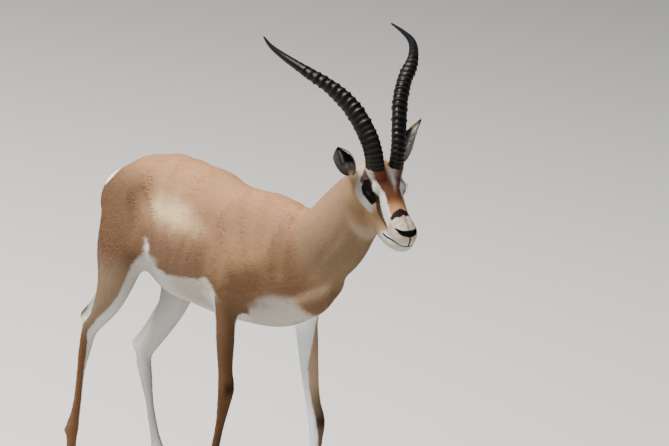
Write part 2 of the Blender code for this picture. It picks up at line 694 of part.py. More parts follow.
for side, sign in (("left", 1), ("right", -1)):
    make_horn("horn_" + side, sign)
    make_eye("eye_" + side, sign)
    make_ear("ear_" + side, side)
for foot in FEET:
    limb, side = foot.split("_")
    outward = 1 if side == "left" else -1
    make_claw(f"{limb}_claw_outer_{side}", foot, outward)
    make_claw(f"{limb}_claw_inner_{side}", foot, -outward)
form = bmesh.new()
tube(form, TAIL, TAIL_FACING, steps=2, sides=8)
object_from(form, "tail")

for thing in bpy.data.objects:
    thing.data.transform(Matrix.Translation(CENTRE_SHIFT))
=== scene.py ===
# A life-size Grant's gazelle ram in mid stride. One skin under a short coat stands in for the solid
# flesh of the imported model; horns, eyes and claws are pieces of their own. Metres, +Z up.
import math

import bmesh
import bpy
import numpy as np
from mathutils import Matrix, Vector
from mathutils.bvhtree import BVHTree


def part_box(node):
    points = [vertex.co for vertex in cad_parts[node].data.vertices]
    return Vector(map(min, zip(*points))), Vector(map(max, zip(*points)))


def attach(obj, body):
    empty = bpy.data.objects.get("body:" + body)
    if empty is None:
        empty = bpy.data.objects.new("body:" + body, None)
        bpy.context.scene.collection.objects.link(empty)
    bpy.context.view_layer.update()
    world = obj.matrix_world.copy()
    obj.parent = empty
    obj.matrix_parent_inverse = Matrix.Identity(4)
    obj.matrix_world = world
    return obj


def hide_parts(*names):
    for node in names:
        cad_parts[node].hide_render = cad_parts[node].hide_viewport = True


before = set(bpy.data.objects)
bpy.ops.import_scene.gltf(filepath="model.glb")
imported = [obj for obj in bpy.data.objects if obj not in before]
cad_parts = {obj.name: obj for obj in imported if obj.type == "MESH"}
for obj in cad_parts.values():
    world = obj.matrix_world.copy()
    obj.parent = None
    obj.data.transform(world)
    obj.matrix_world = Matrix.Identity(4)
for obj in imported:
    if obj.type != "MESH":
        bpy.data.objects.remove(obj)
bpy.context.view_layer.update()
rng = np.random.default_rng(7)

up = Vector((0, 0, 1))
ahead = Vector((1, 0, 0))
sides = {"left": 1, "right": -1}

# The head's own axes: x along the bridge of the nose, y to its left, z out of the forehead, from
# midway between the eyes. The body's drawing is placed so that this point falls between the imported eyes.
headPose = {"spot": (0.658, -0.030, 0.987), "turn": -16.6, "nod": 29.1, "lean": 7.5}


def boxMiddle(node):
    low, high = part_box(node)
    return (low + high) / 2


drawingShift = (boxMiddle("eye_left") + boxMiddle("eye_right")) / 2 - Vector(headPose["spot"])
headMatrix = (
    Matrix.Translation(headPose["spot"])
    @ Matrix.Rotation(math.radians(headPose["turn"]), 4, "Z")
    @ Matrix.Rotation(math.radians(headPose["nod"]), 4, "Y")
    @ Matrix.Rotation(math.radians(headPose["lean"]), 4, "X")
)
headTurn = np.array(headMatrix.to_3x3())
headSpot = np.array(headPose["spot"])


def toHead(spots):
    return (spots - headSpot) @ headTurn


def fromHead(spots):
    return spots @ headTurn.T + headSpot


# Rows of the trunk and neck: centre, then reach above, below and to each side.
trunkRows = [
    (-0.388, 0, 0.765, 0.020, 0.035, 0.030), (-0.355, 0, 0.768, 0.058, 0.065, 0.062),
    (-0.290, 0, 0.770, 0.090, 0.080, 0.092), (-0.215, 0, 0.775, 0.119, 0.095, 0.106),
    (-0.150, 0, 0.755, 0.154, 0.130, 0.112), (-0.080, 0, 0.725, 0.186, 0.180, 0.122),
    (0.010, 0, 0.705, 0.195, 0.170, 0.131), (0.110, 0, 0.700, 0.185, 0.170, 0.128),
    (0.200, 0, 0.700, 0.187, 0.168, 0.114), (0.290, 0, 0.705, 0.172, 0.163, 0.098),
    (0.380, 0, 0.705, 0.135, 0.135, 0.080), (0.440, 0, 0.700, 0.095, 0.095, 0.060),
    (0.478, 0, 0.700, 0.055, 0.050, 0.035),
]
neckRows = [
    (0.300, 0, 0.745, 0.105, 0.100, 0.075), (0.390, 0, 0.785, 0.106, 0.118, 0.078),
    (0.455, 0, 0.832, 0.097, 0.121, 0.072), (0.508, -0.004, 0.890, 0.090, 0.108, 0.063),
    (0.552, -0.010, 0.945, 0.078, 0.092, 0.055), (0.590, -0.018, 0.985, 0.055, 0.065, 0.045),
]
skullRows = [
    (0.166, 0, -0.026, 0.012, 0.014, 0.0150), (0.158, 0, -0.027, 0.023, 0.024, 0.0255),
    (0.140, 0, -0.029, 0.033, 0.028, 0.0320), (0.115, 0, -0.029, 0.039, 0.030, 0.0335),
    (0.085, 0, -0.027, 0.043, 0.034, 0.0330), (0.050, 0, -0.024, 0.049, 0.042, 0.0365),
    (0.015, 0, -0.019, 0.053, 0.056, 0.0410), (-0.025, 0, -0.012, 0.058, 0.070, 0.0450),
    (-0.060, 0, -0.008, 0.054, 0.074, 0.0460), (-0.095, 0, -0.010, 0.042, 0.062, 0.0400),
    (-0.120, 0, -0.015, 0.020, 0.032, 0.0250),
]
jawRows = [
    (0.157, 0, -0.055, 0.010, 0.013, 0.0170), (0.146, 0, -0.059, 0.017, 0.022, 0.0285),
    (0.115, 0, -0.063, 0.022, 0.033, 0.0350), (0.075, 0, -0.066, 0.028, 0.042, 0.0370),
    (0.035, 0, -0.067, 0.032, 0.046, 0.0390), (-0.010, 0, -0.066, 0.036, 0.046, 0.0395),
    (-0.055, 0, -0.062, 0.038, 0.046, 0.0405), (-0.080, 0, -0.050, 0.030, 0.040, 0.0340),
]
foreLines = {
    "left": [
        (0.325, 0.070, 0.690), (0.302, 0.086, 0.620), (0.297, 0.090, 0.570), (0.311, 0.088, 0.520),
        (0.333, 0.084, 0.440), (0.365, 0.079, 0.352), (0.384, 0.077, 0.312), (0.389, 0.0765, 0.272),
        (0.3945, 0.0755, 0.222), (0.399, 0.075, 0.175), (0.404, 0.0745, 0.125), (0.408, 0.074, 0.089),
        (0.424, 0.0735, 0.062), (0.440, 0.073, 0.0335),
    ],
    "right": [
        (0.235, -0.075, 0.720), (0.195, -0.088, 0.655), (0.183, -0.090, 0.605), (0.187, -0.089, 0.550),
        (0.193, -0.088, 0.480), (0.201, -0.086, 0.410), (0.207, -0.085, 0.372), (0.203, -0.083, 0.335),
        (0.193, -0.081, 0.270), (0.184, -0.080, 0.213), (0.177, -0.079, 0.160), (0.173, -0.078, 0.125),
        (0.174, -0.0775, 0.084), (0.176, -0.077, 0.0455),
    ],
}
foreReach = [  # ahead, behind, to each side
    (0.060, 0.085, 0.045), (0.055, 0.070, 0.040), (0.040, 0.048, 0.033), (0.032, 0.034, 0.0290),
    (0.026, 0.026, 0.0240), (0.0205, 0.021, 0.0205), (0.0240, 0.0225, 0.0225), (0.019, 0.020, 0.0195),
    (0.0128, 0.0145, 0.0130), (0.0120, 0.0140, 0.0125), (0.0140, 0.0160, 0.0140), (0.0175, 0.0205, 0.0175),
    (0.0135, 0.0150, 0.0145), (0.0150, 0.0145, 0.0175),
]
hindLines = {
    "left": [
        (-0.255, 0.055, 0.800), (-0.230, 0.080, 0.720), (-0.210, 0.094, 0.650), (-0.198, 0.099, 0.585),
        (-0.200, 0.098, 0.530), (-0.222, 0.093, 0.455), (-0.250, 0.085, 0.390), (-0.284, 0.077, 0.328),
        (-0.268, 0.0755, 0.275), (-0.244, 0.0735, 0.213), (-0.225, 0.072, 0.165), (-0.203, 0.071, 0.115),
        (-0.189, 0.070, 0.088), (-0.171, 0.0695, 0.061), (-0.153, 0.069, 0.0335),
    ],
    "right": [
        (-0.255, -0.055, 0.800), (-0.235, -0.080, 0.720), (-0.226, -0.092, 0.655), (-0.227, -0.097, 0.595),
        (-0.237, -0.098, 0.545), (-0.262, -0.097, 0.485), (-0.292, -0.094, 0.440), (-0.322, -0.090, 0.405),
        (-0.337, -0.088, 0.350), (-0.3485, -0.086, 0.277), (-0.353, -0.084, 0.205), (-0.361, -0.082, 0.155),
        (-0.367, -0.081, 0.126), (-0.367, -0.080, 0.085), (-0.366, -0.079, 0.0455),
    ],
}
hindReach = [
    (0.100, 0.080, 0.050), (0.105, 0.095, 0.052), (0.094, 0.092, 0.055), (0.078, 0.078, 0.048),
    (0.058, 0.056, 0.042), (0.040, 0.036, 0.033), (0.026, 0.024, 0.026), (0.022, 0.024, 0.0215),
    (0.0175, 0.0185, 0.0185), (0.0122, 0.0130, 0.0125), (0.0122, 0.0130, 0.0125), (0.0150, 0.0160, 0.0145),
    (0.0185, 0.0215, 0.0180), (0.0140, 0.0150, 0.0150), (0.0150, 0.0145, 0.0175),
]
hockPoints = {"left": (-0.322, 0.077, 0.352), "right": (-0.350, -0.090, 0.440)}
calves = {"left": (-0.250, 0.090, 0.470), "right": (-0.288, -0.094, 0.520)}
footPitch = {"fore_left": 0, "fore_right": 40, "hind_left": 0, "hind_right": 42}
tailRows = [
    (-0.372, 0.010, 0.775, 0.016, 0.016, 0.018), (-0.396, 0.014, 0.760, 0.013, 0.013, 0.016),
    (-0.404, 0.018, 0.715, 0.011, 0.011, 0.014), (-0.402, 0.020, 0.650, 0.010, 0.010, 0.012),
    (-0.399, 0.021, 0.600, 0.010, 0.010, 0.012), (-0.397, 0.022, 0.575, 0.007, 0.007, 0.008),
]


# Rows with smooth in-between rows
def smoothRows(rows, steps):
    rows = np.array(rows, float)
    at = np.concatenate([[0], np.cumsum(np.linalg.norm(np.diff(rows[:, :3], axis=0), axis=1))])
    slope = np.diff(rows, axis=0) / np.diff(at)[:, None]
    span = np.diff(at)
    tangent = np.empty_like(rows)
    tangent[0], tangent[-1] = slope[0], slope[-1]
    tangent[1:-1] = (slope[:-1] * span[1:, None] + slope[1:] * span[:-1, None]) / (span[:-1] + span[1:])[:, None]
    result = []
    for i in range(len(rows) - 1):
        for t in np.arange(steps) / steps:
            result.append(
                (2 * t**3 - 3 * t**2 + 1) * rows[i] + (t**3 - 2 * t**2 + t) * span[i] * tangent[i]
                + (3 * t**2 - 2 * t**3) * rows[i + 1] + (t**3 - t**2) * span[i] * tangent[i + 1]
            )
    result.append(rows[-1])
    return np.array(result)


def unit(vectors):
    return vectors / np.maximum(np.linalg.norm(vectors, axis=-1, keepdims=True), 1e-9)


# A closed tube through the rows; footDome is how far its first end bulges, dome its last
def tube(form, rows, facing, steps=3, around=20, dome=0.6, footDome=None):
    footDome = dome if footDome is None else footDome
    rows = smoothRows(rows, steps)
    along = unit(np.gradient(rows[:, :3], axis=0))
    rings = [(rows[0], along[0], -math.sin(math.radians(a)) * footDome, math.cos(math.radians(a))) for a in (66, 33)]
    rings += [(row, a, 0.0, 1.0) for row, a in zip(rows, along)]
    rings += [(rows[-1], along[-1], math.sin(math.radians(a)) * dome, math.cos(math.radians(a))) for a in (33, 66)]
    loops = []
    for row, a, push, scale in rings:
        a = Vector(a)
        front = (facing - a * facing.dot(a)).normalized()
        side = a.cross(front)
        centre = Vector(row[:3]) + a * push * min(row[3:6])
        loop = []
        for k in range(around):
            turn = 2 * math.pi * k / around
            reach = row[3] if math.cos(turn) > 0 else row[4]
            loop.append(form.verts.new(centre + (front * math.cos(turn) * reach + side * math.sin(turn) * row[5])
                                       * scale))
        loops.append(loop)
    joinLoops(form, loops)
    for row, a, loop, push in ((rows[0], along[0], loops[0], -footDome), (rows[-1], along[-1], loops[-1], dome)):
        tip = form.verts.new(Vector(row[:3]) + Vector(a) * push * min(row[3:6]))
        for k in range(around):
            m = (k + 1) % around
            form.faces.new((loop[k], loop[m], tip) if push > 0 else (loop[m], loop[k], tip))


def joinLoops(form, loops, closed=True):
    count = len(loops[0])
    for lower, upper in zip(loops, loops[1:]):
        for k in range(count if closed else count - 1):
            m = (k + 1) % count
            form.faces.new((lower[k], lower[m], upper[m], upper[k]))


def blob(form, place, radii, turn=0.0, tilt=0.0):
    stand = (
        Matrix.Translation(place) @ Matrix.Rotation(math.radians(turn), 4, "Z")
        @ Matrix.Rotation(math.radians(tilt), 4, "Y") @ Matrix.Diagonal((*radii, 1))
    )
    bmesh.ops.create_icosphere(form, subdivisions=3, radius=1.0, matrix=stand)


# A linked object from a bmesh, which is used up
def meshObject(name, form, place=None, smooth=True):
    if place is not None:
        form.transform(place)
    bmesh.ops.recalc_face_normals(form, faces=form.faces)
    mesh = bpy.data.meshes.new(name)
    form.to_mesh(mesh)
    form.free()
    mesh.polygons.foreach_set("use_smooth", [smooth] * len(mesh.polygons))
    thing = bpy.data.objects.new(name, mesh)
    bpy.context.scene.collection.objects.link(thing)
    return thing


def bakeModifiers(thing):
    graph = bpy.context.evaluated_depsgraph_get()
    mesh = bpy.data.meshes.new_from_object(thing.evaluated_get(graph))
    old = thing.data
    thing.modifiers.clear()
    thing.data = mesh
    bpy.data.meshes.remove(old)


def readSpots(mesh, what="co"):
    source = mesh.vertices
    values = np.empty(len(source) * 3, np.float32)
    source.foreach_get(what, values)
    return values.reshape(-1, 3).astype(float)


def writeSpots(mesh, spots):
    mesh.vertices.foreach_set("co", spots.astype(np.float32).ravel())
    mesh.update()


def cornersOf(mesh):
    mesh.calc_loop_triangles()
    corners = np.empty(len(mesh.loop_triangles) * 3, np.int32)
    mesh.loop_triangles.foreach_get("vertices", corners)
    return corners.reshape(-1, 3)


def paint(mesh, colours):
    values = np.ones((len(colours), 4), np.float32)
    values[:, :3] = np.clip(colours, 0, 1)
    mesh.attributes.new("tint", "FLOAT_COLOR", "POINT").data.foreach_set("color", values.ravel())


# Coordinates along which the streaks of hair, horn and hoof run
def setCombed(mesh, values):
    layer = mesh.attributes.new("combed", "FLOAT_VECTOR", "POINT")
    layer.data.foreach_set("vector", np.asarray(values, np.float32).ravel())


# Closes a loop of vertices with a fan of faces to one tip
def capLoop(form, loop, tip):
    for k, vert in enumerate(loop):
        form.faces.new((vert, loop[(k + 1) % len(loop)], tip))


# Adds a bmesh to another, which is used up
def addPart(form, part, place=None):
    piece = meshObject("part", part, place)
    form.from_mesh(piece.data)
    bpy.data.objects.remove(piece)


# 0 below low, 1 above high, and a smooth ramp between them
def ease(low, high, value):
    t = np.clip((value - low) / (high - low), 0, 1)
    return t * t * (3 - 2 * t)


# Smoothed vertex places; pull says how strongly for each vertex, back undoes shrinking
def relax(mesh, spots, pull, times, back=0.0):
    edges = np.empty(len(mesh.edges) * 2, np.int32)
    mesh.edges.foreach_get("vertices", edges)
    edges = edges.reshape(-1, 2)
    count = len(spots)
    near = np.maximum(np.bincount(edges.ravel(), minlength=count), 1)[:, None]
    for _ in range(times):
        for share in (0.5, -back):
            if share:
                mean = np.stack([
                    np.bincount(edges[:, 0], spots[edges[:, 1], k], count)
                    + np.bincount(edges[:, 1], spots[edges[:, 0], k], count)
                    for k in range(3)
                ], axis=1) / near
                spots = spots + (mean - spots) * share * pull[:, None]
    return spots


# How far each spot is from a broken line, and where along it: the number of the segment and the share of it
def lineDistance(spots, line):
    line = np.array(line, float)
    best = np.full(len(spots), 1e9)
    at = np.zeros(len(spots))
    for k in range(len(line) - 1):
        run = line[k + 1] - line[k]
        t = np.clip((spots - line[k]) @ run / (run @ run), 0, 1)
        gap = np.linalg.norm(spots - line[k] - t[:, None] * run, axis=1)
        closer = gap < best
        best[closer] = gap[closer]
        at[closer] = k + t[closer]
    return best, at


skin = {
    "voxel": 0.0045,
    "smoothing": 120,
    "coatDepth": {"body": 0.0032, "leg": 0.0014, "head": 0.0012, "muzzle": 0.0006},
}
horns = {
    "line": [
        (-0.0305, 0.0285, 0.0455),
        (-0.0375, 0.0305, 0.0640),
        (-0.0600, 0.0368, 0.0980),
        (-0.1005, 0.0480, 0.1272),
        (-0.1530, 0.0665, 0.1505),
        (-0.2115, 0.0980, 0.1650),
        (-0.2810, 0.1475, 0.1715),
        (-0.3520, 0.1765, 0.1610),
        (-0.4230, 0.1825, 0.1370),
        (-0.4750, 0.1765, 0.1195),
    ],
    # share of the length, then half the section's long and short way there
    "sizes": [
        (0.00, 0.0262, 0.0188),
        (0.20, 0.0258, 0.0184),
        (0.40, 0.0226, 0.0184),
        (0.50, 0.0193, 0.0168),
        (0.60, 0.0152, 0.0138),
        (0.70, 0.0118, 0.0108),
        (0.80, 0.0087, 0.0080),
        (0.90, 0.0055, 0.0050),
        (1.00, 0.0022, 0.0022),
    ],
    "turn": 30, "foot": (-0.0270, 0.0275, 0.024),
    "rings": 27, "rise": 0.0024, "from": 0.002, "to": 0.76, "spread": 1.35, "around": 36,
    "samples": 330, "seed": 17, "uneven": 0.30, "paleCrest": 1.1, "grain": 0.12,
}
ears = {
    "left": {"base": (-0.090, 0.052, 0.001), "tip": (-0.093, 0.100, 0.140), "mouth": (0.75, 0.55, -0.35),
             "width": 0.0275},
    "right": {"base": (-0.096, -0.056, -0.013), "tip": (-0.062, -0.129, 0.107), "mouth": (0.80, -0.30, -0.30),
              "width": 0.0250},
    "rows": 44, "columns": 26, "thick": 0.0013,
    # pale strokes of hair in the cup: place and width across it, start and end along it
    "strokes": [(-0.44, 0.075, 0.22, 0.78)],
    # the dark of the cup begins and ends across it, from the inner edge (-1) to the outer (1)
    "dark": {"left": (0.34, 0.46, 0.86, 0.74), "right": (-0.56, -0.40, 0.62, 0.48)},
}


def hornFacing(sign):
    turn = math.radians(horns["turn"])
    return Vector((math.cos(turn), -sign * math.sin(turn), 0))


def bodyForm():
    form = bmesh.new()
    tube(form, trunkRows, up)
    tube(form, neckRows, Vector((-0.7, 0, 0.7)))
    tube(form, tailRows, Vector((0.2, 1, 0)), around=12)
    for side, sign in sides.items():
        fore, hind = foreLines[side], hindLines[side]
        tube(form, [(*p, *r) for p, r in zip(fore, foreReach)], ahead, around=16)
        tube(form, [(*p, *r) for p, r in zip(hind, hindReach)], ahead, around=16)
        calf, point, hock = calves[side], hockPoints[side], hind[7]
        halfway = [(a + b) / 2 for a, b in zip(calf, point)]
        tube(form, [
            (*calf, 0.034, 0.011, 0.013), (*halfway, 0.040, 0.009, 0.0090), (*point, 0.020, 0.011, 0.0115),
        ], ahead, steps=4, around=12)
        tube(form, [(*point, 0.0125, 0.0125, 0.0125), (*hock, 0.018, 0.018, 0.019)], up, around=12)
        top = (fore[0][0] - 0.060, sign * 0.048, 0.845)
        joint = (fore[0][0] + 0.045, sign * 0.083, fore[0][2] - 0.015)
        elbow = (fore[2][0] - 0.020, fore[2][1], fore[2][2] + 0.030)
        middle = [(a + b) / 2 for a, b in zip(top, joint)]
        tube(form, [
            (*top, 0.035, 0.045, 0.028), (*middle, 0.052, 0.060, 0.036), (*joint, 0.045, 0.045, 0.032),
        ], ahead, steps=4)
        tube(form, [(*joint, 0.036, 0.036, 0.030), (*elbow, 0.030, 0.032, 0.028)], ahead, steps=4)
        blob(form, (-0.155, sign * 0.078, 0.834), (0.060, 0.026, 0.034), turn=sign * 12, tilt=12)
        blob(form, (-0.325, sign * 0.052, 0.745), (0.044, 0.034, 0.060))
        for leg, at in ((fore, 11), (hind, 12)):
            fetlock, nextDown = Vector(leg[at]), Vector(leg[at + 1])
            down = (nextDown - fetlock).normalized()
            behind = (down * ahead.dot(down) - ahead).normalized()
            for hand in (-1, 1):
                blob(form, fetlock + behind * 0.020 + down * 0.010 + Vector((0, 0.0095 * hand, 0)),
                     (0.0065, 0.0055, 0.0085))
    blob(form, (-0.075, 0, 0.552), (0.055, 0.020, 0.020), tilt=4)
    blob(form, (-0.192, 0, 0.632), (0.028, 0.024, 0.036))
    return form


def headForm():
    form = bmesh.new()
    tube(form, skullRows, up, around=24, dome=0.5)
    tube(form, jawRows, up, around=24, dome=0.6)
    for side, sign in sides.items():
        blob(form, (0.000, sign * 0.0340, 0.010), (0.026, 0.0150, 0.021), turn=sign * 6)
        blob(form, (-0.040, sign * 0.0280, -0.045), (0.042, 0.0150, 0.034))
        blob(form, (0.146, sign * 0.0145, -0.014), (0.016, 0.0085, 0.012), turn=sign * -14)
        foot, start = (Vector((p[0], p[1] * sign, p[2])) for p in (horns["foot"], horns["line"][0]))
        long, short = (size * 1.10 for size in horns["sizes"][0][1:])
        tube(form, [(*spot, long, long, short) for spot in (foot, foot.lerp(start, 1.45))], hornFacing(sign),
             dome=0.2)
        root, tip = Vector(ears[side]["base"]), Vector(ears[side]["tip"])
        tube(form, [(*root.lerp(tip, -0.22), *[0.022] * 3), (*root.lerp(tip, 0.07), *[0.0185] * 3)], ahead, dome=0.3)
    return form


def skullGap(spots):
    return np.linalg.norm(spots - fromHead(np.array([[0.03, 0, 0]])), axis=1)


# 1 at the face, falling to 0 down the neck
def headNearness(spots):
    return 1 - ease(0.12, 0.19, skullGap(spots))


def coatDepth(spots):
    head = toHead(spots)
    depth = skin["coatDepth"]
    low = 1 - ease(0.42, 0.62, spots[:, 2])
    face = headNearness(spots)
    muzzle = ease(0.06, 0.13, head[:, 0]) * face
    result = depth["body"] + (depth["leg"] - depth["body"]) * low
    result += (depth["head"] - result) * face
    return result + (depth["muzzle"] - result) * muzzle


def makeSkin():
    form = bmesh.new()
    for part, place in ((bodyForm(), None), (headForm(), headMatrix)):
        addPart(form, part, place)
    thing = meshObject("skin", form)
    remesh = thing.modifiers.new("remesh", "REMESH")
    remesh.mode = "VOXEL"
    remesh.voxel_size = skin["voxel"]
    bakeModifiers(thing)
    mesh = thing.data
    spots = readSpots(mesh)
    # the trunk is smoothed fully, the legs and the face hardly
    soft = 0.06 + 0.94 * np.clip((spots[:, 2] - 0.50) / 0.12, 0, 1)
    soft = soft * np.clip((skullGap(spots) - 0.10) / 0.08, 0.04, 1)
    spots = relax(mesh, spots, soft, skin["smoothing"])
    spots = relax(mesh, spots, np.ones(len(spots)), 3, back=0.52)
    writeSpots(mesh, spots)
    writeSpots(mesh, spots - readSpots(mesh, "normal") * coatDepth(spots)[:, None])
    return thing


# Several tints below are painted shade: those for creases, the throat's side, white in shade and the near ear's pale
# hair.
tints = {
    "fawn": (0.250, 0.143, 0.081), "back": (0.375, 0.198, 0.105), "cream": (0.60, 0.43, 0.255),
    "flank": (0.145, 0.085, 0.052),
    "shoulder": (0.255, 0.142, 0.074), "arm": (0.134, 0.075, 0.041), "neck": (0.295, 0.180, 0.104),
    "throatShade": (0.172, 0.115, 0.068),
    "poll": (0.72, 0.57, 0.40), "white": (0.52, 0.51, 0.485), "shadedWhite": (0.350, 0.305, 0.245),
    "thigh": (0.118, 0.065, 0.037),
    "shin": (0.125, 0.063, 0.031), "rust": (0.100, 0.037, 0.018), "orange": (0.34, 0.168, 0.074),
    "cheek": (0.165, 0.106, 0.052), "darkBrown": (0.028, 0.013, 0.008), "black": (0.004, 0.0035, 0.0038),
    "purple": (0.020, 0.013, 0.015), "muzzle": (0.50, 0.45, 0.37), "creaseShade": (0.15, 0.070, 0.034),
    "gaskin": (0.215, 0.148, 0.096), "mauve": (0.085, 0.052, 0.048), "whiteLit": (0.84, 0.86, 0.88),
    "earBack": (0.20, 0.130, 0.080), "earWhiteInShade": (0.30, 0.275, 0.26), "earDark": (0.006, 0.005, 0.005),
}


# A cheap smooth noise from -1 to 1, with lumps of about the given size
def wobble(spots, size, seed):
    dice = np.random.default_rng(seed)
    total = np.zeros(len(spots))
    for _ in range(6):
        way = dice.normal(size=3)
        way *= dice.uniform(0.6, 1.7) / np.linalg.norm(way) * math.pi / size
        total += np.sin(spots @ way + dice.uniform(0, 2 * math.pi))
    return total / 3.5


def interp(value, stops):
    stops = np.array(stops, float)
    return np.interp(value, stops[:, 0], stops[:, 1])


def lay(colour, tint, mask):
    return colour + (np.array(tints[tint]) - colour) * np.clip(mask, 0, 1)[:, None]


# Where each spot sits on a leg: distance from its line, how far down, and how far its side faces ahead and left
def legPlace(spots, line, reach):
    gap, at = lineDistance(spots, line)
    line = np.array(line, float)
    k = np.minimum(at.astype(int), len(line) - 2)
    share = (at - k)[:, None]
    offset = spots - line[k] * (1 - share) - line[k + 1] * share
    run = unit(line[k + 1] - line[k])
    front = unit(np.array([[1.0, 0, 0]]) - run * run[:, :1])
    left = np.cross(front, run)
    reach = np.array(reach, float)
    size = (reach[k] * (1 - share) + reach[k + 1] * share)
    f, s = (offset * front).sum(1), (offset * left).sum(1)
    return gap, at, np.arctan2(s, f), size


# 1 where first and second are at the place, fading away over the two widths
def dab(first, second, place, wide):
    return np.exp(-(((first - place[0]) / wide[0]) ** 2 + ((second - place[1]) / wide[1]) ** 2))


bellyEdge = [(-0.30, 0.780), (-0.150, 0.730), (-0.115, 0.696), (-0.104, 0.656), (-0.078, 0.629), (-0.037, 0.619),
             (0.050, 0.630), (0.100, 0.640), (0.127, 0.648), (0.16, 0.620), (0.20, 0.596), (0.235, 0.594),
             (0.265, 0.609), (0.303, 0.616), (0.342, 0.621), (0.373, 0.628), (0.400, 0.630), (0.422, 0.612),
             (0.436, 0.570), (0.45, 0.500)]


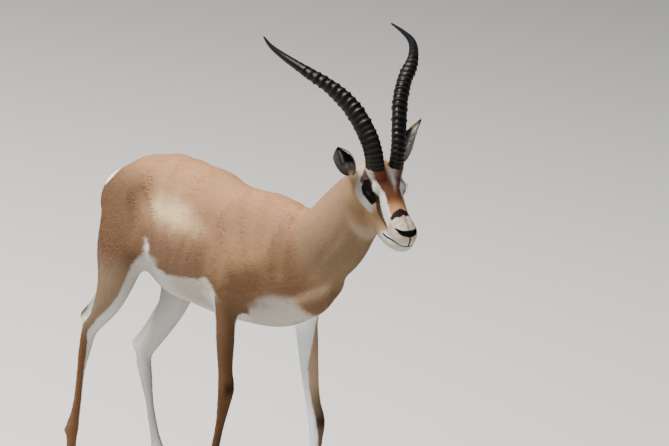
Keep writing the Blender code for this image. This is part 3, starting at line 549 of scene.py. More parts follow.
def bodyTint(spots, normals):
    x, y, z = spots.T
    s = np.abs(y)
    sideOn = spots[:, [0, 2]]
    colour = np.repeat(np.array(tints["fawn"])[None], len(spots), axis=0)
    # lighter along the top of the back: partly the coat's own colour, partly a painted highlight
    colour = lay(colour, "back", ease(0.80, 0.88, z) * 0.8)
    colour = lay(colour, "thigh", ease(-0.115, -0.185, x) * ease(0.905, 0.790, z))
    colour = lay(colour, "flank", ease(0.770, 0.690, z) * ease(0.20, 0.10, x) * ease(-0.16, -0.12, x) * 0.85)
    # the pale patch on the flank
    patchLine = [(-0.080, 0.787), (-0.022, 0.786), (0.052, 0.776), (0.105, 0.760)]
    patch = lineDistance(sideOn, patchLine)[0] / interp(x, [(-0.09, 0.034), (0.0, 0.036), (0.10, 0.020)])
    patch = np.exp(-((patch + 0.20 * wobble(spots, 0.016, 4)) ** 2)) * ease(0.03, 0.08, s)
    patch *= interp(x, [(-0.10, 0.9), (0.0, 1.0), (0.08, 0.45), (0.12, 0.2)])
    colour = lay(colour, "cream", patch * (0.85 + 0.15 * wobble(spots, 0.05, 3)))
    colour = lay(colour, "shoulder", dab(x, z, (0.24, 0.71), (0.11, 0.10)) * 0.8)
    # painted shade darkening the shoulder's front and the upper arm
    colour = lay(colour, "arm", swell(sideOn, [(0.372, 0.760), (0.388, 0.720), (0.400, 0.690)], 0.75, 0.048))
    colour = lay(colour, "arm", swell(sideOn, [(0.385, 0.700), (0.430, 0.692)], 0.70, 0.038))
    upperArmShade = ease(0.745, 0.640, z - 0.25 * (x - 0.2)) * ease(0.10, 0.18, x) * ease(0.48, 0.40, x)
    colour = lay(colour, "arm", upperArmShade * 0.85)
    # the neck, with painted shade darkening its throat's side; under is how far a spot stands below the neck's middle
    # line
    axis = smoothRows(neckRows, 3)
    _, at = lineDistance(spots, axis[:, :3])
    middle = np.stack([np.interp(at, np.arange(len(axis)), axis[:, k]) for k in range(5)], axis=1)
    under = ((x - middle[:, 0]) * 0.7 - (z - middle[:, 2]) * 0.7) / middle[:, 4]
    neckward = ease(2.0, 5.5, at) * ease(0.035, 0.115, x - 0.30 + 0.3 * (z - 0.80))
    colour = lay(colour, "neck", neckward)
    colour = lay(colour, "throatShade", neckward * ease(-0.55, 0.60, under + 0.25 * ease(9.0, 3.0, at)) * 0.95)
    poll = ease(0.97, 1.04, z - 0.2 * (x - 0.55)) * ease(0.50, 0.56, x) * ease(0.3, -0.3, under)
    colour = lay(colour, "poll", poll * 0.6)
    # painted shade, darker in the neck's wrinkles and in the hollows at the shoulder's edge, the stifle and the elbow
    wrinkles = [form for name, form in bodyForms.items() if name.startswith("neck wrinkle")]
    wrinkleShade = sum(swell(sideOn, line, 1.0, wide * 0.6) for line, _, wide in wrinkles)
    colour = lay(colour, "creaseShade", np.minimum(wrinkleShade, 1) * 0.36 * ease(0.02, 0.05, s))
    hollows = ("shoulder edge", "stifle fold", "elbow crease")
    shade = sum(swell(sideOn, bodyForms[name][0], 1.0, 0.013) for name in hollows)
    colour = lay(colour, "creaseShade", np.minimum(shade, 1) * 0.24 * ease(0.05, 0.08, s))
    # painted highlight: paler orange along the crest of the shoulder blade
    colour = lay(colour, "orange", swell(sideOn, bodyForms["blade crest"][0], 1.0, 0.015) * 0.16)
    colour = lay(colour, "orange", swell(sideOn, [(0.300, 0.880), (0.372, 0.872)], 1.0, 0.020) * 0.30)
    # the shade along the spine of the rump, and the white disc under the tail with its darker rim
    rump = ((np.abs(z - 0.724) / 0.114) ** 3.2 + (s / 0.064) ** 3.2) ** (1 / 3.2)
    behind = ease(-0.45, -0.80, normals[:, 0] - 0.35 * ease(0.80, 0.83, z))
    rimLine = [(-0.330, 0.080, 0.778), (-0.300, 0.105, 0.755), (-0.272, 0.124, 0.715), (-0.262, 0.128, 0.665)]
    rim = 0.5 * ease(-0.25, -0.65, normals[:, 0]) * ease(0.80, 0.76, z) * ease(0.46, 0.54, z) * (x < -0.24)
    rim = rim + ease(0.017, 0.006, lineDistance(np.stack([x, s, z], axis=1), rimLine)[0])
    colour = lay(colour, "shin", np.minimum(rim, 1) * 0.80)
    disc = ease(1.10, 1.0, rump + 0.05 * wobble(spots, 0.02, 5)) * behind
    colour = lay(colour, "white", disc * ease(-0.28, -0.32, x))
    corner = np.sqrt(((x + 0.335) / 0.030) ** 2 + ((z - 0.812) / 0.026) ** 2 + ((s - 0.046) / 0.026) ** 2)
    colour = lay(colour, "whiteLit", ease(1.08, 0.92, corner + 0.06 * wobble(spots, 0.012, 6)))
    # belly and chest
    edge = interp(x, bellyEdge) + 0.0018 * wobble(spots, 0.018, 11)
    inward = ease(0.03, -0.10, normals[:, 1] * np.sign(y)) * ease(-0.34, -0.30, x) * ease(0.72, 0.69, z)
    under = ease(0.0022, -0.0022, z - edge) * np.maximum(ease(-0.128, -0.116, x), inward)
    inner = ease(0.085, 0.070, s) * ease(0.66, 0.62, z)
    underTail = ease(0.074, 0.060, s) * ease(0.73, 0.69, z) * ease(-0.20, -0.25, x)
    pale = np.maximum(np.maximum(under, underTail), inner * ease(0.42, 0.39, x))
    colour = lay(colour, "white", pale)
    # painted shade: the belly's white greyed on its sides towards the front, and the chest's white greyed
    colour = lay(colour, "shadedWhite", pale * ease(0.05, 0.09, s)
                 * (0.72 * ease(-0.07, 0.02, x) + 0.20 * ease(0.20, 0.30, x)))
    colour = lay(colour, "shadedWhite", pale * ease(0.20, 0.28, x) * ease(0.46, 0.42, x) * 0.60)
    lobe = swell(sideOn, [(0.425, 0.622), (0.456, 0.644), (0.492, 0.672)], 1.0, 0.026)
    colour = lay(colour, "arm", lobe * 0.8 * ease(0.424, 0.446, x))
    # painted highlight: paler along the raised chest fold
    colour = lay(colour, "cream", swell(sideOn, bodyForms["chest fold"][0], 1.0, 0.011) * 0.40 * ease(0.01, 0.03, s))
    return colour


# Where the brown of each leg begins, degrees outward from its front, by height
frontEdges = {
    (True, "right"): [(0.10, -40), (0.30, -35), (0.372, -25), (0.40, -50), (0.45, -34), (0.49, -28), (0.54, -24),
                      (0.62, -24)],
    (True, "left"): [(0.10, -20), (0.25, -20), (0.30, -40), (0.36, -60), (0.40, -64), (0.45, -52), (0.49, -30),
                     (0.54, 0), (0.62, 36)],
    (False, "right"): [(0.10, -30), (0.25, -15), (0.32, 10), (0.37, 40), (0.41, 70), (0.45, 58), (0.49, 34),
                       (0.53, 22), (0.58, 20), (0.66, 8)],
    (False, "left"): [(0.10, 8), (0.30, 24), (0.37, 38), (0.43, 50), (0.50, 56), (0.66, 50)],
}


def legTint(colour, spots, fore, side):
    sign = sides[side]
    line = (foreLines if fore else hindLines)[side]
    reach = foreReach if fore else hindReach
    gap, _, angle, size = legPlace(spots, line, reach)
    z = spots[:, 2]
    width = size.max(axis=1)
    # angle 0 is ahead; positive towards the outside of this leg
    angle = angle * sign
    top = 0.62 if fore else 0.66
    near = ease(1.9, 1.45, gap / width) * ease(top + 0.015, top - 0.03, z)
    wave = 0.12 * wobble(spots, 0.02, 21)
    degree = np.degrees(angle) + 7 * wave
    brown = np.array(tints["shin" if side == "right" else "gaskin"])
    share = (ease(0.60, 0.40, z) if fore else ease(0.46, 0.36, z))[:, None]
    upper = ease(0.56, 0.66, z)[:, None] if not fore else 0.0
    coat = np.array(tints["arm" if fore else "gaskin"]) * (1 - upper) + np.array(tints["thigh"]) * upper
    coat = coat * (1 - share) + brown * share
    light = [(0.15, 0.68), (0.35, 0.84), (0.55, 1.0)] if fore else [(0.10, 1.35), (0.35, 1.1), (0.45, 1.0)]
    coat = coat * interp(z, light)[:, None]
    # painted light: the far foreleg's coat is lighter above the knee
    if fore and side == "left":
        coat = coat * (1 + 1.7 * ease(0.34, 0.42, z))[:, None]
    if fore:
        rearEdge = interp(z, [(0.10, 135), (0.35, 130), (0.45, 122), (0.60, 128)])
    else:
        rearEdge = interp(z, [(0.10, 135), (0.28, 140), (0.36, 128), (0.41, 136), (0.44, 160), (0.50, 165),
                              (0.62, 180)])
    frontEdge = interp(z, frontEdges[fore, side])
    outside = ease(-3, 3, degree - frontEdge) * ease(4, -4, degree - rearEdge)
    pale = np.repeat(np.array(tints["whiteLit" if fore and side == "left" else "white"])[None], len(spots), axis=0)
    # painted shade: the hind leg's white greyer high on its inner side
    if not fore:
        pale = lay(pale, "shadedWhite", 0.5 * ease(0.46, 0.56, z))
    legColour = coat * outside[:, None] + pale * (1 - outside[:, None])
    colour = colour + (legColour - colour) * near[:, None]
    reachNear = ease(1.9, 1.5, gap / width)
    if fore:
        knee = line[6]
        brush = np.exp(-(((z - knee[2] - 0.002) / 0.020) ** 2)) * ease(75, 30, np.abs(degree)) * reachNear
        colour = lay(colour, "darkBrown", brush * 0.85)
    # pasterns, dewclaws and the hair over the claws
    fetlock = line[11 if fore else 12]
    dewclaw = np.array(fetlock) - (0.020, 0, 0.010)
    colour = lay(colour, "black", ease(0.0165, 0.012, np.linalg.norm(spots - dewclaw, axis=1)) * 0.9)
    coronet = line[-1][2]
    colour = lay(colour, "darkBrown", ease(coronet + 0.018, coronet + 0.004, z) * reachNear * 0.75)
    return colour


def headTint(spots):
    h = toHead(spots)
    x, y, z = h.T
    s = np.abs(y)
    ripple = 0.0010 * wobble(spots, 0.006, 31) + 0.0008 * wobble(spots, 0.0025, 32)
    colour = np.repeat(np.array(tints["neck"])[None], len(spots), axis=0)
    colour = lay(colour, "poll", ease(-0.052, -0.075, x) * ease(-0.03, 0.005, z))
    colour = lay(colour, "cheek", dab(x, z, (0.045, -0.058), (0.035, 0.018)) * 0.7)
    colour = lay(colour, "cheek", dab(x, z, (-0.030, -0.085), (0.040, 0.024)) * 0.7)
    # painted shade greying the underside of the head
    colour = lay(colour, "shadedWhite", ease(-0.105, -0.125, z) * 0.35)
    # white round the back and the underside of the eye, and a pale spot at the angle of the jaw, painted as white in
    # shade
    ring = np.hypot((x + 0.009) / 0.035, (z + 0.008) / 0.029) + ripple * 20
    reach = interp(x, [(-0.08, 1.75), (-0.057, 1.57), (-0.038, 1.55), (-0.019, 1.75), (0.0, 1.95), (0.02, 1.8),
                       (0.04, 1.4)])
    rim = ease(reach + 0.14, reach - 0.14, ring) * ease(0.010, 0.0, z) * ease(0.040, 0.010, x) * ease(0.02, 0.03, s)
    rim *= interp(x, [(-0.07, 0.40), (-0.05, 0.62), (-0.025, 0.75), (-0.010, 0.95), (0.005, 0.75), (0.03, 0.35)])
    colour = lay(colour, "white", rim)
    spot = dab(x, z, (0.002, -0.132), (0.017, 0.018)) * ease(0.03, 0.045, s)
    colour = lay(colour, "shadedWhite", spot * 0.3)
    # chin, lips and jaw
    jaw = interp(x, [(-0.06, -0.128), (0.0, -0.112), (0.05, -0.078), (0.085, -0.054), (0.105, -0.035), (0.17, -0.03)])
    chin = ease(-0.02, 0.035, x) * 0.06 + ease(0.062, 0.100, x) * 0.74
    colour = lay(colour, "white", ease(0.006, -0.010, z - jaw + ripple * 3) * chin)
    # the chestnut blaze between two white stripes
    blazeEdge = interp(x, [(-0.06, 0.044), (-0.030, 0.043), (-0.018, 0.0425), (-0.009, 0.0355), (0.009, 0.0278),
                           (0.025, 0.0225), (0.040, 0.0208), (0.066, 0.0218), (0.10, 0.0228), (0.12, 0.0205)])
    blazeLow = interp(x, [(-0.06, 0.052), (-0.035, 0.046), (-0.018, 0.038), (0.0, 0.018), (0.02, -0.006)])
    blaze = ease(0.0015, -0.0015, s - blazeEdge + ripple) * ease(-0.002, 0.002, z - blazeLow)
    blaze *= ease(0.114, 0.102, x) * ease(-0.070, -0.056, x)
    warm = np.clip(ease(0.048, 0.092, x + 0.25 * s) + 0.35 * ease(0.010, 0.0, x) * ease(0.012, 0.002, s), 0, 1)
    blazeColour = np.array(tints["rust"]) * (1 - warm[:, None]) + np.array(tints["orange"]) * warm[:, None]
    # the blaze's brightness along the nose: painted light at its top by the horns and painted shade in its middle
    blazeColour = blazeColour * interp(x, [(-0.02, 1.6), (0.010, 0.90), (0.045, 0.72), (0.075, 1.0)])[:, None]
    streakAt = interp(x, [(-0.06, 0.0), (-0.030, 0.003), (-0.010, 0.009), (0.004, 0.011), (0.020, 0.008),
                          (0.040, 0.003)])
    streakWide = interp(x, [(-0.06, 0.006), (-0.03, 0.0048), (-0.008, 0.0095), (0.004, 0.0085), (0.02, 0.0055),
                            (0.05, 0.0035)])
    streak = np.exp(-(((y - streakAt) / streakWide) ** 2))
    streak *= interp(x, [(-0.07, 0.45), (-0.03, 0.50), (-0.012, 0.9), (0.008, 0.80), (0.022, 0.25), (0.040, 0.05),
                         (0.05, 0.0)])
    streak = np.clip(streak * (1 + 0.25 * wobble(spots, 0.004, 33)), 0, 1)[:, None]
    blazeColour = blazeColour + (np.array(tints["white"]) * 0.85 - blazeColour) * streak
    stripeLow = interp(x, [(-0.060, 0.060), (-0.045, 0.050), (-0.035, 0.039), (-0.023, 0.031), (0.0, 0.024),
                           (0.026, 0.011), (0.047, -0.005), (0.073, -0.020), (0.097, -0.026), (0.115, -0.034)])
    stripe = ease(-0.0015, 0.0015, s - blazeEdge + 0.002 + ripple) * ease(-0.0015, 0.0015, z - stripeLow + ripple)
    stripe *= ease(-0.058, -0.044, x) * ease(0.125, 0.11, x)
    browLine = [(-0.052, -0.004), (-0.052, 0.012), (-0.034, 0.028), (-0.014, 0.024), (0.004, 0.016)]
    browGap = lineDistance(h[:, [0, 2]], browLine)[0] - 0.011
    colour = lay(colour, "mauve", ease(0.0025, -0.0025, browGap + ripple) * ease(0.022, 0.030, s))
    colour = lay(colour, "white", stripe * interp(x, [(-0.03, 0.62), (0.01, 0.80), (0.03, 1.0)]))
    colour = colour + (blazeColour - colour) * blaze[:, None]
    # the dark line from the eye's front corner to the mouth
    band = interp(x, [(0.02, 0.0110), (0.045, 0.0115), (0.07, 0.0100), (0.09, 0.0080), (0.11, 0.005)])
    line = stripeLow - band
    dark = ease(0.002, -0.002, np.abs(z - line) - band + ripple) * ease(0.018, 0.022, s)
    dark *= ease(0.010, 0.020, x) * ease(0.112, 0.090, x)
    dark *= interp(x, [(0.02, 1), (0.045, 0.95), (0.065, 0.85), (0.085, 0.7), (0.10, 0.4)])
    colour = lay(colour, "darkBrown", dark)
    # the patch round the eye
    mask = ease(1.06, 0.98, ring) * ease(0.018, 0.026, s) * ease(0.002, -0.002, z - stripeLow + ripple)
    colour = lay(colour, "black", mask)
    # the dark saddle on the nose, and the pale muzzle in front of it
    front = ease(0.098, 0.110, x)
    colour = lay(colour, "muzzle", front * ease(-0.048, -0.036, z) * 0.92)
    colour = lay(colour, "orange", dab(x, s, (0.119, 0.010), (0.007, 0.009)) * ease(-0.01, 0.0, z) * 0.45)
    mottle = np.clip(wobble(spots, 0.011, 41) + 0.4 * wobble(spots, 0.004, 42), 0, 1)
    mottle = mottle * front * ease(-0.030, -0.015, z)
    colour = lay(colour, "orange", mottle * 0.55 * ease(0.142, 0.130, x))
    colour = lay(colour, "mauve", front * ease(0.0075, 0.0005, s + ripple) * ease(-0.004, 0.0, z) * 0.60)
    colour = lay(colour, "mauve", dab(x, z, (0.112, -0.020), (0.012, 0.010)) * ease(0.022, 0.028, s) * 0.45)
    back = interp(s, [(0, 0.0860), (0.008, 0.0875), (0.019, 0.0908), (0.026, 0.0945), (0.030, 0.100)])
    lower = interp(s, [(0, 0.1055), (0.006, 0.1095), (0.012, 0.1085), (0.018, 0.1055), (0.028, 0.1045)])
    saddle = ease(-0.0015, 0.0015, x - back + ripple) * ease(0.0015, -0.0015, x - lower + ripple)
    saddle = saddle * ease(-0.010, -0.003, z)
    colour = lay(colour, "purple", saddle * ease(0.030, 0.025, s))
    colour = lay(colour, "black", saddle * ease(0.020, 0.008, s) * 0.7)
    # nose leather and mouth
    colour = lay(colour, "black", noseMask(h))
    colour = lay(colour, "black", mouthMask(h))
    return colour


face = {
    "mouthLine": [(0.093, 0.0340, -0.0580), (0.109, 0.0330, -0.0550), (0.123, 0.0310, -0.0495),
                  (0.141, 0.0280, -0.0435),
                  (0.153, 0.0200, -0.0452), (0.160, 0.0090, -0.0455), (0.163, 0.0, -0.0450)],
    "nostril": [(0.1340, 0.0260, -0.0105), (0.1430, 0.0215, -0.0095), (0.1510, 0.0135, -0.0095)],
    "midline": [(0.158, 0.0, -0.012), (0.163, 0.0, -0.026), (0.163, 0.0, -0.045)],
    "leatherTop": [(0, -0.0026), (0.012, -0.0038), (0.019, -0.0050), (0.026, -0.0080), (0.029, -0.0105)],
    "leatherLow": [(0, -0.0158), (0.010, -0.0146), (0.019, -0.0146), (0.025, -0.0138), (0.029, -0.0120)],
}


def mirrored(h):
    return np.stack([h[:, 0], np.abs(h[:, 1]), h[:, 2]], axis=1)


def noseMask(h):
    m = mirrored(h)
    s, z = m[:, 1], m[:, 2]
    middle = lineDistance(m, face["midline"])[0]
    leather = ease(0.0006, -0.0006, z - interp(s, face["leatherTop"]))
    leather = leather * ease(-0.0006, 0.0006, z - interp(s, face["leatherLow"]))
    leather = leather * ease(0.124, 0.128, m[:, 0]) * ease(0.0300, 0.0285, s)
    return np.maximum(leather, ease(0.0026, 0.0015, middle))


def mouthMask(h):
    return ease(0.0030, 0.0018, lineDistance(mirrored(h), face["mouthLine"])[0])


# Moves the lines of the mouth and nose onto the skin
def snapFace(mesh):
    h = toHead(readSpots(mesh))
    polygons = [tuple(p.vertices) for p in mesh.polygons if h[p.vertices[0], 0] > 0.06
                and abs(h[p.vertices[0], 1]) < 0.06]
    tree = BVHTree.FromPolygons([tuple(spot) for spot in h], polygons)
    for name in ("mouthLine", "nostril", "midline"):
        found = [tree.find_nearest(tuple(row))[0] for row in smoothRows(face[name], 5)]
        face[name] = [(f.x, abs(f.y) if name != "midline" else 0.0, f.z) for f in found]


# The colour of the coat at spots of the drawing
def coatTint(spots, normals):
    colour = bodyTint(spots, normals)
    for side in sides:
        colour = legTint(colour, spots, True, side)
        colour = legTint(colour, spots, False, side)
    head = ease(0.150, 0.128, np.linalg.norm(toHead(spots) - np.array([0.040, 0, -0.020]), axis=1))
    colour = colour + (headTint(spots) - colour) * head[:, None]
    return colour


def socketsOf(group, side, rows):
    for kind, name, value in rows:
        made = group.interface.new_socket(name, in_out=side, socket_type="NodeSocket" + kind)
        if value is not None:
            made.default_value = value


def newGroup(name, takes, gives):
    group = bpy.data.node_groups.new(name, "ShaderNodeTree")
    socketsOf(group, "INPUT", takes)
    socketsOf(group, "OUTPUT", gives)
    return group, group.nodes.new("NodeGroupInput"), group.nodes.new("NodeGroupOutput")


# A node with values set; link maps its input names to other sockets
def node(tree, kind, link=None, **values):
    made = tree.nodes.new("ShaderNode" + kind)
    for key, value in values.items():
        setattr(made, key, value)
    for key, source in (link or {}).items():
        target = made.inputs[key]
        if isinstance(source, bpy.types.NodeSocket):
            tree.links.new(source, target)
        else:
            target.default_value = source
    return made


# Fine streaks along the lie of the coat: a tinted colour and a height
def hairGrain():
    group, take, give = newGroup(
        "hair grain",
        [("Color", "Color", (0.5, 0.5, 0.5, 1)), ("Vector", "Combed", None), ("Float", "Fineness", 1.0),
         ("Float", "Contrast", 0.25)],
        [("Color", "Color", None), ("Float", "Height", None)],
    )
    scaled = node(group, "VectorMath", {0: take.outputs["Combed"], "Scale": take.outputs["Fineness"]},
                  operation="SCALE")
    streak = node(group, "TexNoise", {"Vector": scaled.outputs[0], "Scale": 900.0, "Detail": 3.0, "Roughness": 0.6})
    broad = node(group, "TexNoise", {"Vector": scaled.outputs[0], "Scale": 120.0, "Detail": 2.0})
    mixed = node(group, "Math", {0: streak.outputs["Fac"], 1: broad.outputs["Fac"]}, operation="ADD")
    centred = node(group, "Math", {0: mixed.outputs[0], 1: 1.0}, operation="SUBTRACT")
    swing = node(group, "Math", {0: centred.outputs[0], 1: take.outputs["Contrast"]}, operation="MULTIPLY")
    gain = node(group, "Math", {0: swing.outputs[0], 1: 1.0}, operation="ADD")
    shade = node(group, "VectorMath", {0: take.outputs["Color"], "Scale": gain.outputs[0]}, operation="SCALE")
    group.links.new(shade.outputs[0], give.inputs["Color"])
    group.links.new(mixed.outputs[0], give.inputs["Height"])
    return group


def newMaterial(name, rough):
    material = bpy.data.materials.new(name)
    material.use_nodes = True
    tree = material.node_tree
    shader = tree.nodes["Principled BSDF"]
    shader.inputs["Roughness"].default_value = rough
    return material, tree, shader


def placeGroup(tree, group, **values):
    made = tree.nodes.new("ShaderNodeGroup")
    made.node_tree = group
    for key, value in values.items():
        made.inputs[key].default_value = value
    return made


# bump: strength and distance in metres
finishes = {
    "skin": {"rough": 0.72, "shine": 0.05, "contrast": 0.14, "fineness": 1.0, "bump": (0.20, 0.0015)},
    "coat": {"rough": 0.70, "shine": 0.05, "contrast": 0.12, "fineness": 1.0},
    "horn": {"rough": 0.42, "shine": 0.14, "contrast": 0.45, "fineness": 0.55, "bump": (0.5, 0.0006),
             "colour": (0.0024, 0.0021, 0.0023), "crest": (0.020, 0.016, 0.0135)},
    "hoof": {"rough": 0.48, "shine": 0.5, "contrast": 0.5, "fineness": 0.8, "bump": (0.4, 0.0005),
             "colour": (0.030, 0.025, 0.021)},
    "eye": {"rough": 0.10, "shine": 0.05, "film": 0.03, "filmRough": 0.03},
}
grain = hairGrain()


# A material with streaks along the lie; the streaks' own colour is set by the caller
def streakedMaterial(name, values):
    material, tree, shader = newMaterial(name, values["rough"])
    combed = node(tree, "Attribute", attribute_name="combed")
    streaks = placeGroup(tree, grain, Contrast=values["contrast"], Fineness=values["fineness"])
    tree.links.new(combed.outputs["Vector"], streaks.inputs["Combed"])
    tree.links.new(streaks.outputs["Color"], shader.inputs["Base Color"])
    shader.inputs["Specular IOR Level"].default_value = values["shine"]
    if "bump" in values:
        strength, distance = values["bump"]
        bump = node(tree, "Bump", {"Height": streaks.outputs["Height"], "Strength": strength, "Distance": distance})
        tree.links.new(bump.outputs["Normal"], shader.inputs["Normal"])
    return material, tree, shader, streaks


def coatMaterial(name, values):
    material, tree, _, streaks = streakedMaterial(name, values)
    tint = node(tree, "Attribute", attribute_name="tint")
    tree.links.new(tint.outputs["Color"], streaks.inputs["Color"])
    return material


# Ring crests are paler, partly from wear and partly as a painted highlight, and the streaks are rougher than the
# grooves between them
def hornMaterial():
    values = finishes["horn"]
    material, tree, shader, streaks = streakedMaterial("ringed horn", values)
    crestWearAndHighlight = node(tree, "Attribute", attribute_name="crestWearAndHighlight")
    base = node(tree, "Mix", {"Factor": crestWearAndHighlight.outputs["Fac"]}, data_type="RGBA")
    base.inputs["A"].default_value = (*values["colour"], 1)
    base.inputs["B"].default_value = (*values["crest"], 1)
    tree.links.new(base.outputs["Result"], streaks.inputs["Color"])
    rough = node(tree, "MapRange", {"Value": streaks.outputs["Height"], "From Min": 0.6, "From Max": 1.4,
                                    "To Min": 0.30, "To Max": 0.55})
    tree.links.new(rough.outputs[0], shader.inputs["Roughness"])
    return material


def hoofMaterial():
    material, _, _, streaks = streakedMaterial("hoof wall", finishes["hoof"])
    streaks.inputs["Color"].default_value = (*finishes["hoof"]["colour"], 1)
    return material


def eyeMaterial():
    values = finishes["eye"]
    material, tree, shader = newMaterial("wet eye", values["rough"])
    tint = node(tree, "Attribute", attribute_name="tint")
    tree.links.new(tint.outputs["Color"], shader.inputs["Base Color"])
    shader.inputs["Specular IOR Level"].default_value = values["shine"]
    shader.inputs["Coat Weight"].default_value = values["film"]
    shader.inputs["Coat Roughness"].default_value = values["filmRough"]
    return material


skinFinish = coatMaterial("short coat underlay", finishes["skin"])
coatFinish = coatMaterial("coat hair", finishes["coat"])
hornFinish = hornMaterial()
eyeFinish = eyeMaterial()
hoofFinish = hoofMaterial()


# The way the hair lies, before it is turned into the surface
def lieOf(spots):
    x, _, z = spots.T
    trunk = np.stack([-np.ones_like(x), np.zeros_like(x), -0.28 - 0.5 * ease(0.70, 0.60, z)], axis=1)
    neck = np.array([[-0.55, 0.0, -0.83]])
    leg = np.array([[-0.10, 0.0, -1.0]])
    face = np.array([[-1.0, 0.0, -0.25]]) @ headTurn.T
    _, at = lineDistance(spots, [row[:3] for row in neckRows])
    way = unit(trunk)
    way = way + (unit(neck) - way) * ease(0.5, 1.6, at)[:, None]
    way = way + (unit(leg) - way) * ease(0.64, 0.54, z)[:, None]
    thigh = ease(-0.15, -0.25, x) * ease(0.80, 0.70, z)
    way = way + (unit(leg) - way) * (0.7 * thigh)[:, None]
    way = way + (face - way) * headNearness(spots)[:, None]
    return unit(way)


# Coordinates squeezed along the lie of the hair, so that a plain noise becomes streaks
def comb(spots):
    way = lieOf(spots)
    anchor = np.array([0.0, 0.0, 0.7])
    local = spots - anchor
    return local - way * (local * way).sum(1)[:, None] * 0.88


stageValues = {
    "floorSize": 60.0, "floorTint": (0.60, 0.595, 0.58), "sky": (0.90, 0.94, 1.0), "skyStrength": 0.20,
    "key": {"spot": (-2.0, -3.2, 8.0), "size": 3.6, "power": 2300, "tint": (1.0, 0.965, 0.91)},
    "fill": {"spot": (6.0, -4.0, 2.5), "size": 4.0, "power": 45, "tint": (0.93, 0.96, 1.0)},
    "cameraAt": (9.70384, -9.46149, 3.69116), "cameraTurn": 45.0, "cameraDip": 12.0, "cameraRoll": 5.5,
    "lens": 290.04, "farthest": 200, "aim": (0, 0, 0.7),
}


def makeStage():
    form = bmesh.new()
    bmesh.ops.create_grid(form, x_segments=1, y_segments=1, size=stageValues["floorSize"] / 2)
    floor = meshObject("floor", form)
    material, _, shader = newMaterial("plain floor", 0.9)
    shader.inputs["Base Color"].default_value = (*stageValues["floorTint"], 1)
    floor.data.materials.append(material)
    world = bpy.data.worlds.new("studio")
    world.use_nodes = True
    world.node_tree.nodes["Background"].inputs["Color"].default_value = (*stageValues["sky"], 1)
    world.node_tree.nodes["Background"].inputs["Strength"].default_value = stageValues["skyStrength"]
    bpy.context.scene.world = world
    middle = Vector(stageValues["aim"])
    for name in ("key", "fill"):
        values = stageValues[name]
        light = bpy.data.lights.new(name, "AREA")
        light.size, light.energy, light.color = values["size"], values["power"], values["tint"]
        lamp = bpy.data.objects.new(name, light)
        lamp.location = values["spot"]
        lamp.rotation_euler = (middle - lamp.location).to_track_quat("-Z", "Y").to_euler()
        bpy.context.scene.collection.objects.link(lamp)
    camera = bpy.data.objects.new("camera", bpy.data.cameras.new("camera"))
    camera.data.lens = stageValues["lens"]
    camera.data.clip_end = stageValues["farthest"]
    turn = (
        Matrix.Rotation(math.radians(stageValues["cameraTurn"]), 4, "Z")
        @ Matrix.Rotation(math.radians(90 - stageValues["cameraDip"]), 4, "X")
        @ Matrix.Rotation(math.radians(stageValues["cameraRoll"]), 4, "Z")
    )
    camera.matrix_world = Matrix.Translation(stageValues["cameraAt"]) @ turn
    bpy.context.scene.collection.objects.link(camera)
    bpy.context.scene.camera = camera


# Pulls the skin in and out along its normals to give the head its small forms.
headForms = {
    # a line, how far out (+) or in (-), and how wide; all on the left half and mirrored
    "brow": ([(0.026, 0.0330, 0.008), (0.010, 0.0360, 0.0165), (-0.012, 0.0375, 0.0165), (-0.026, 0.0370, 0.008)],
             0.0016, 0.0040),
    "cheek crest": ([(0.055, 0.0320, -0.026), (0.020, 0.0380, -0.026), (-0.020, 0.0420, -0.026),
                     (-0.050, 0.0400, -0.020)], 0.0022, 0.0060),
    "tear groove": ([(0.021, 0.0370, -0.008), (0.036, 0.0350, -0.015), (0.052, 0.0330, -0.021)], -0.0018, 0.0022),
    "jaw muscle": ([(0.012, 0.0380, -0.050), (-0.004, 0.0390, -0.078), (-0.028, 0.0360, -0.098)], -0.0016, 0.0050),
    "cheek hollow": ([(0.095, 0.0300, -0.036), (0.045, 0.0340, -0.046)], -0.0020, 0.0080),
    "temple": ([(-0.050, 0.0400, 0.012), (-0.070, 0.0400, -0.008)], -0.0020, 0.0100),
    "nose side": ([(0.125, 0.0260, -0.018), (0.075, 0.0280, -0.014)], -0.0012, 0.0060),
    "bridge edge": ([(0.130, 0.0150, 0.002), (0.060, 0.0190, 0.012)], 0.0009, 0.0040),
    "upper lip": ([(0.118, 0.0300, -0.0490), (0.137, 0.0250, -0.0450), (0.154, 0.0130, -0.0400)], 0.0012, 0.0040),
    "lower lip": ([(0.118, 0.0280, -0.0630), (0.137, 0.0240, -0.0590), (0.153, 0.0120, -0.0540)], 0.0010, 0.0035),
    "nostril wing": ([(0.1350, 0.0270, -0.0020), (0.1450, 0.0220, -0.0030), (0.1540, 0.0125, -0.0070)], 0.0014,
                     0.0032),
    "throat fold": ([(-0.060, 0.0350, -0.100), (-0.085, 0.0200, -0.115)], -0.0030, 0.0080),
}
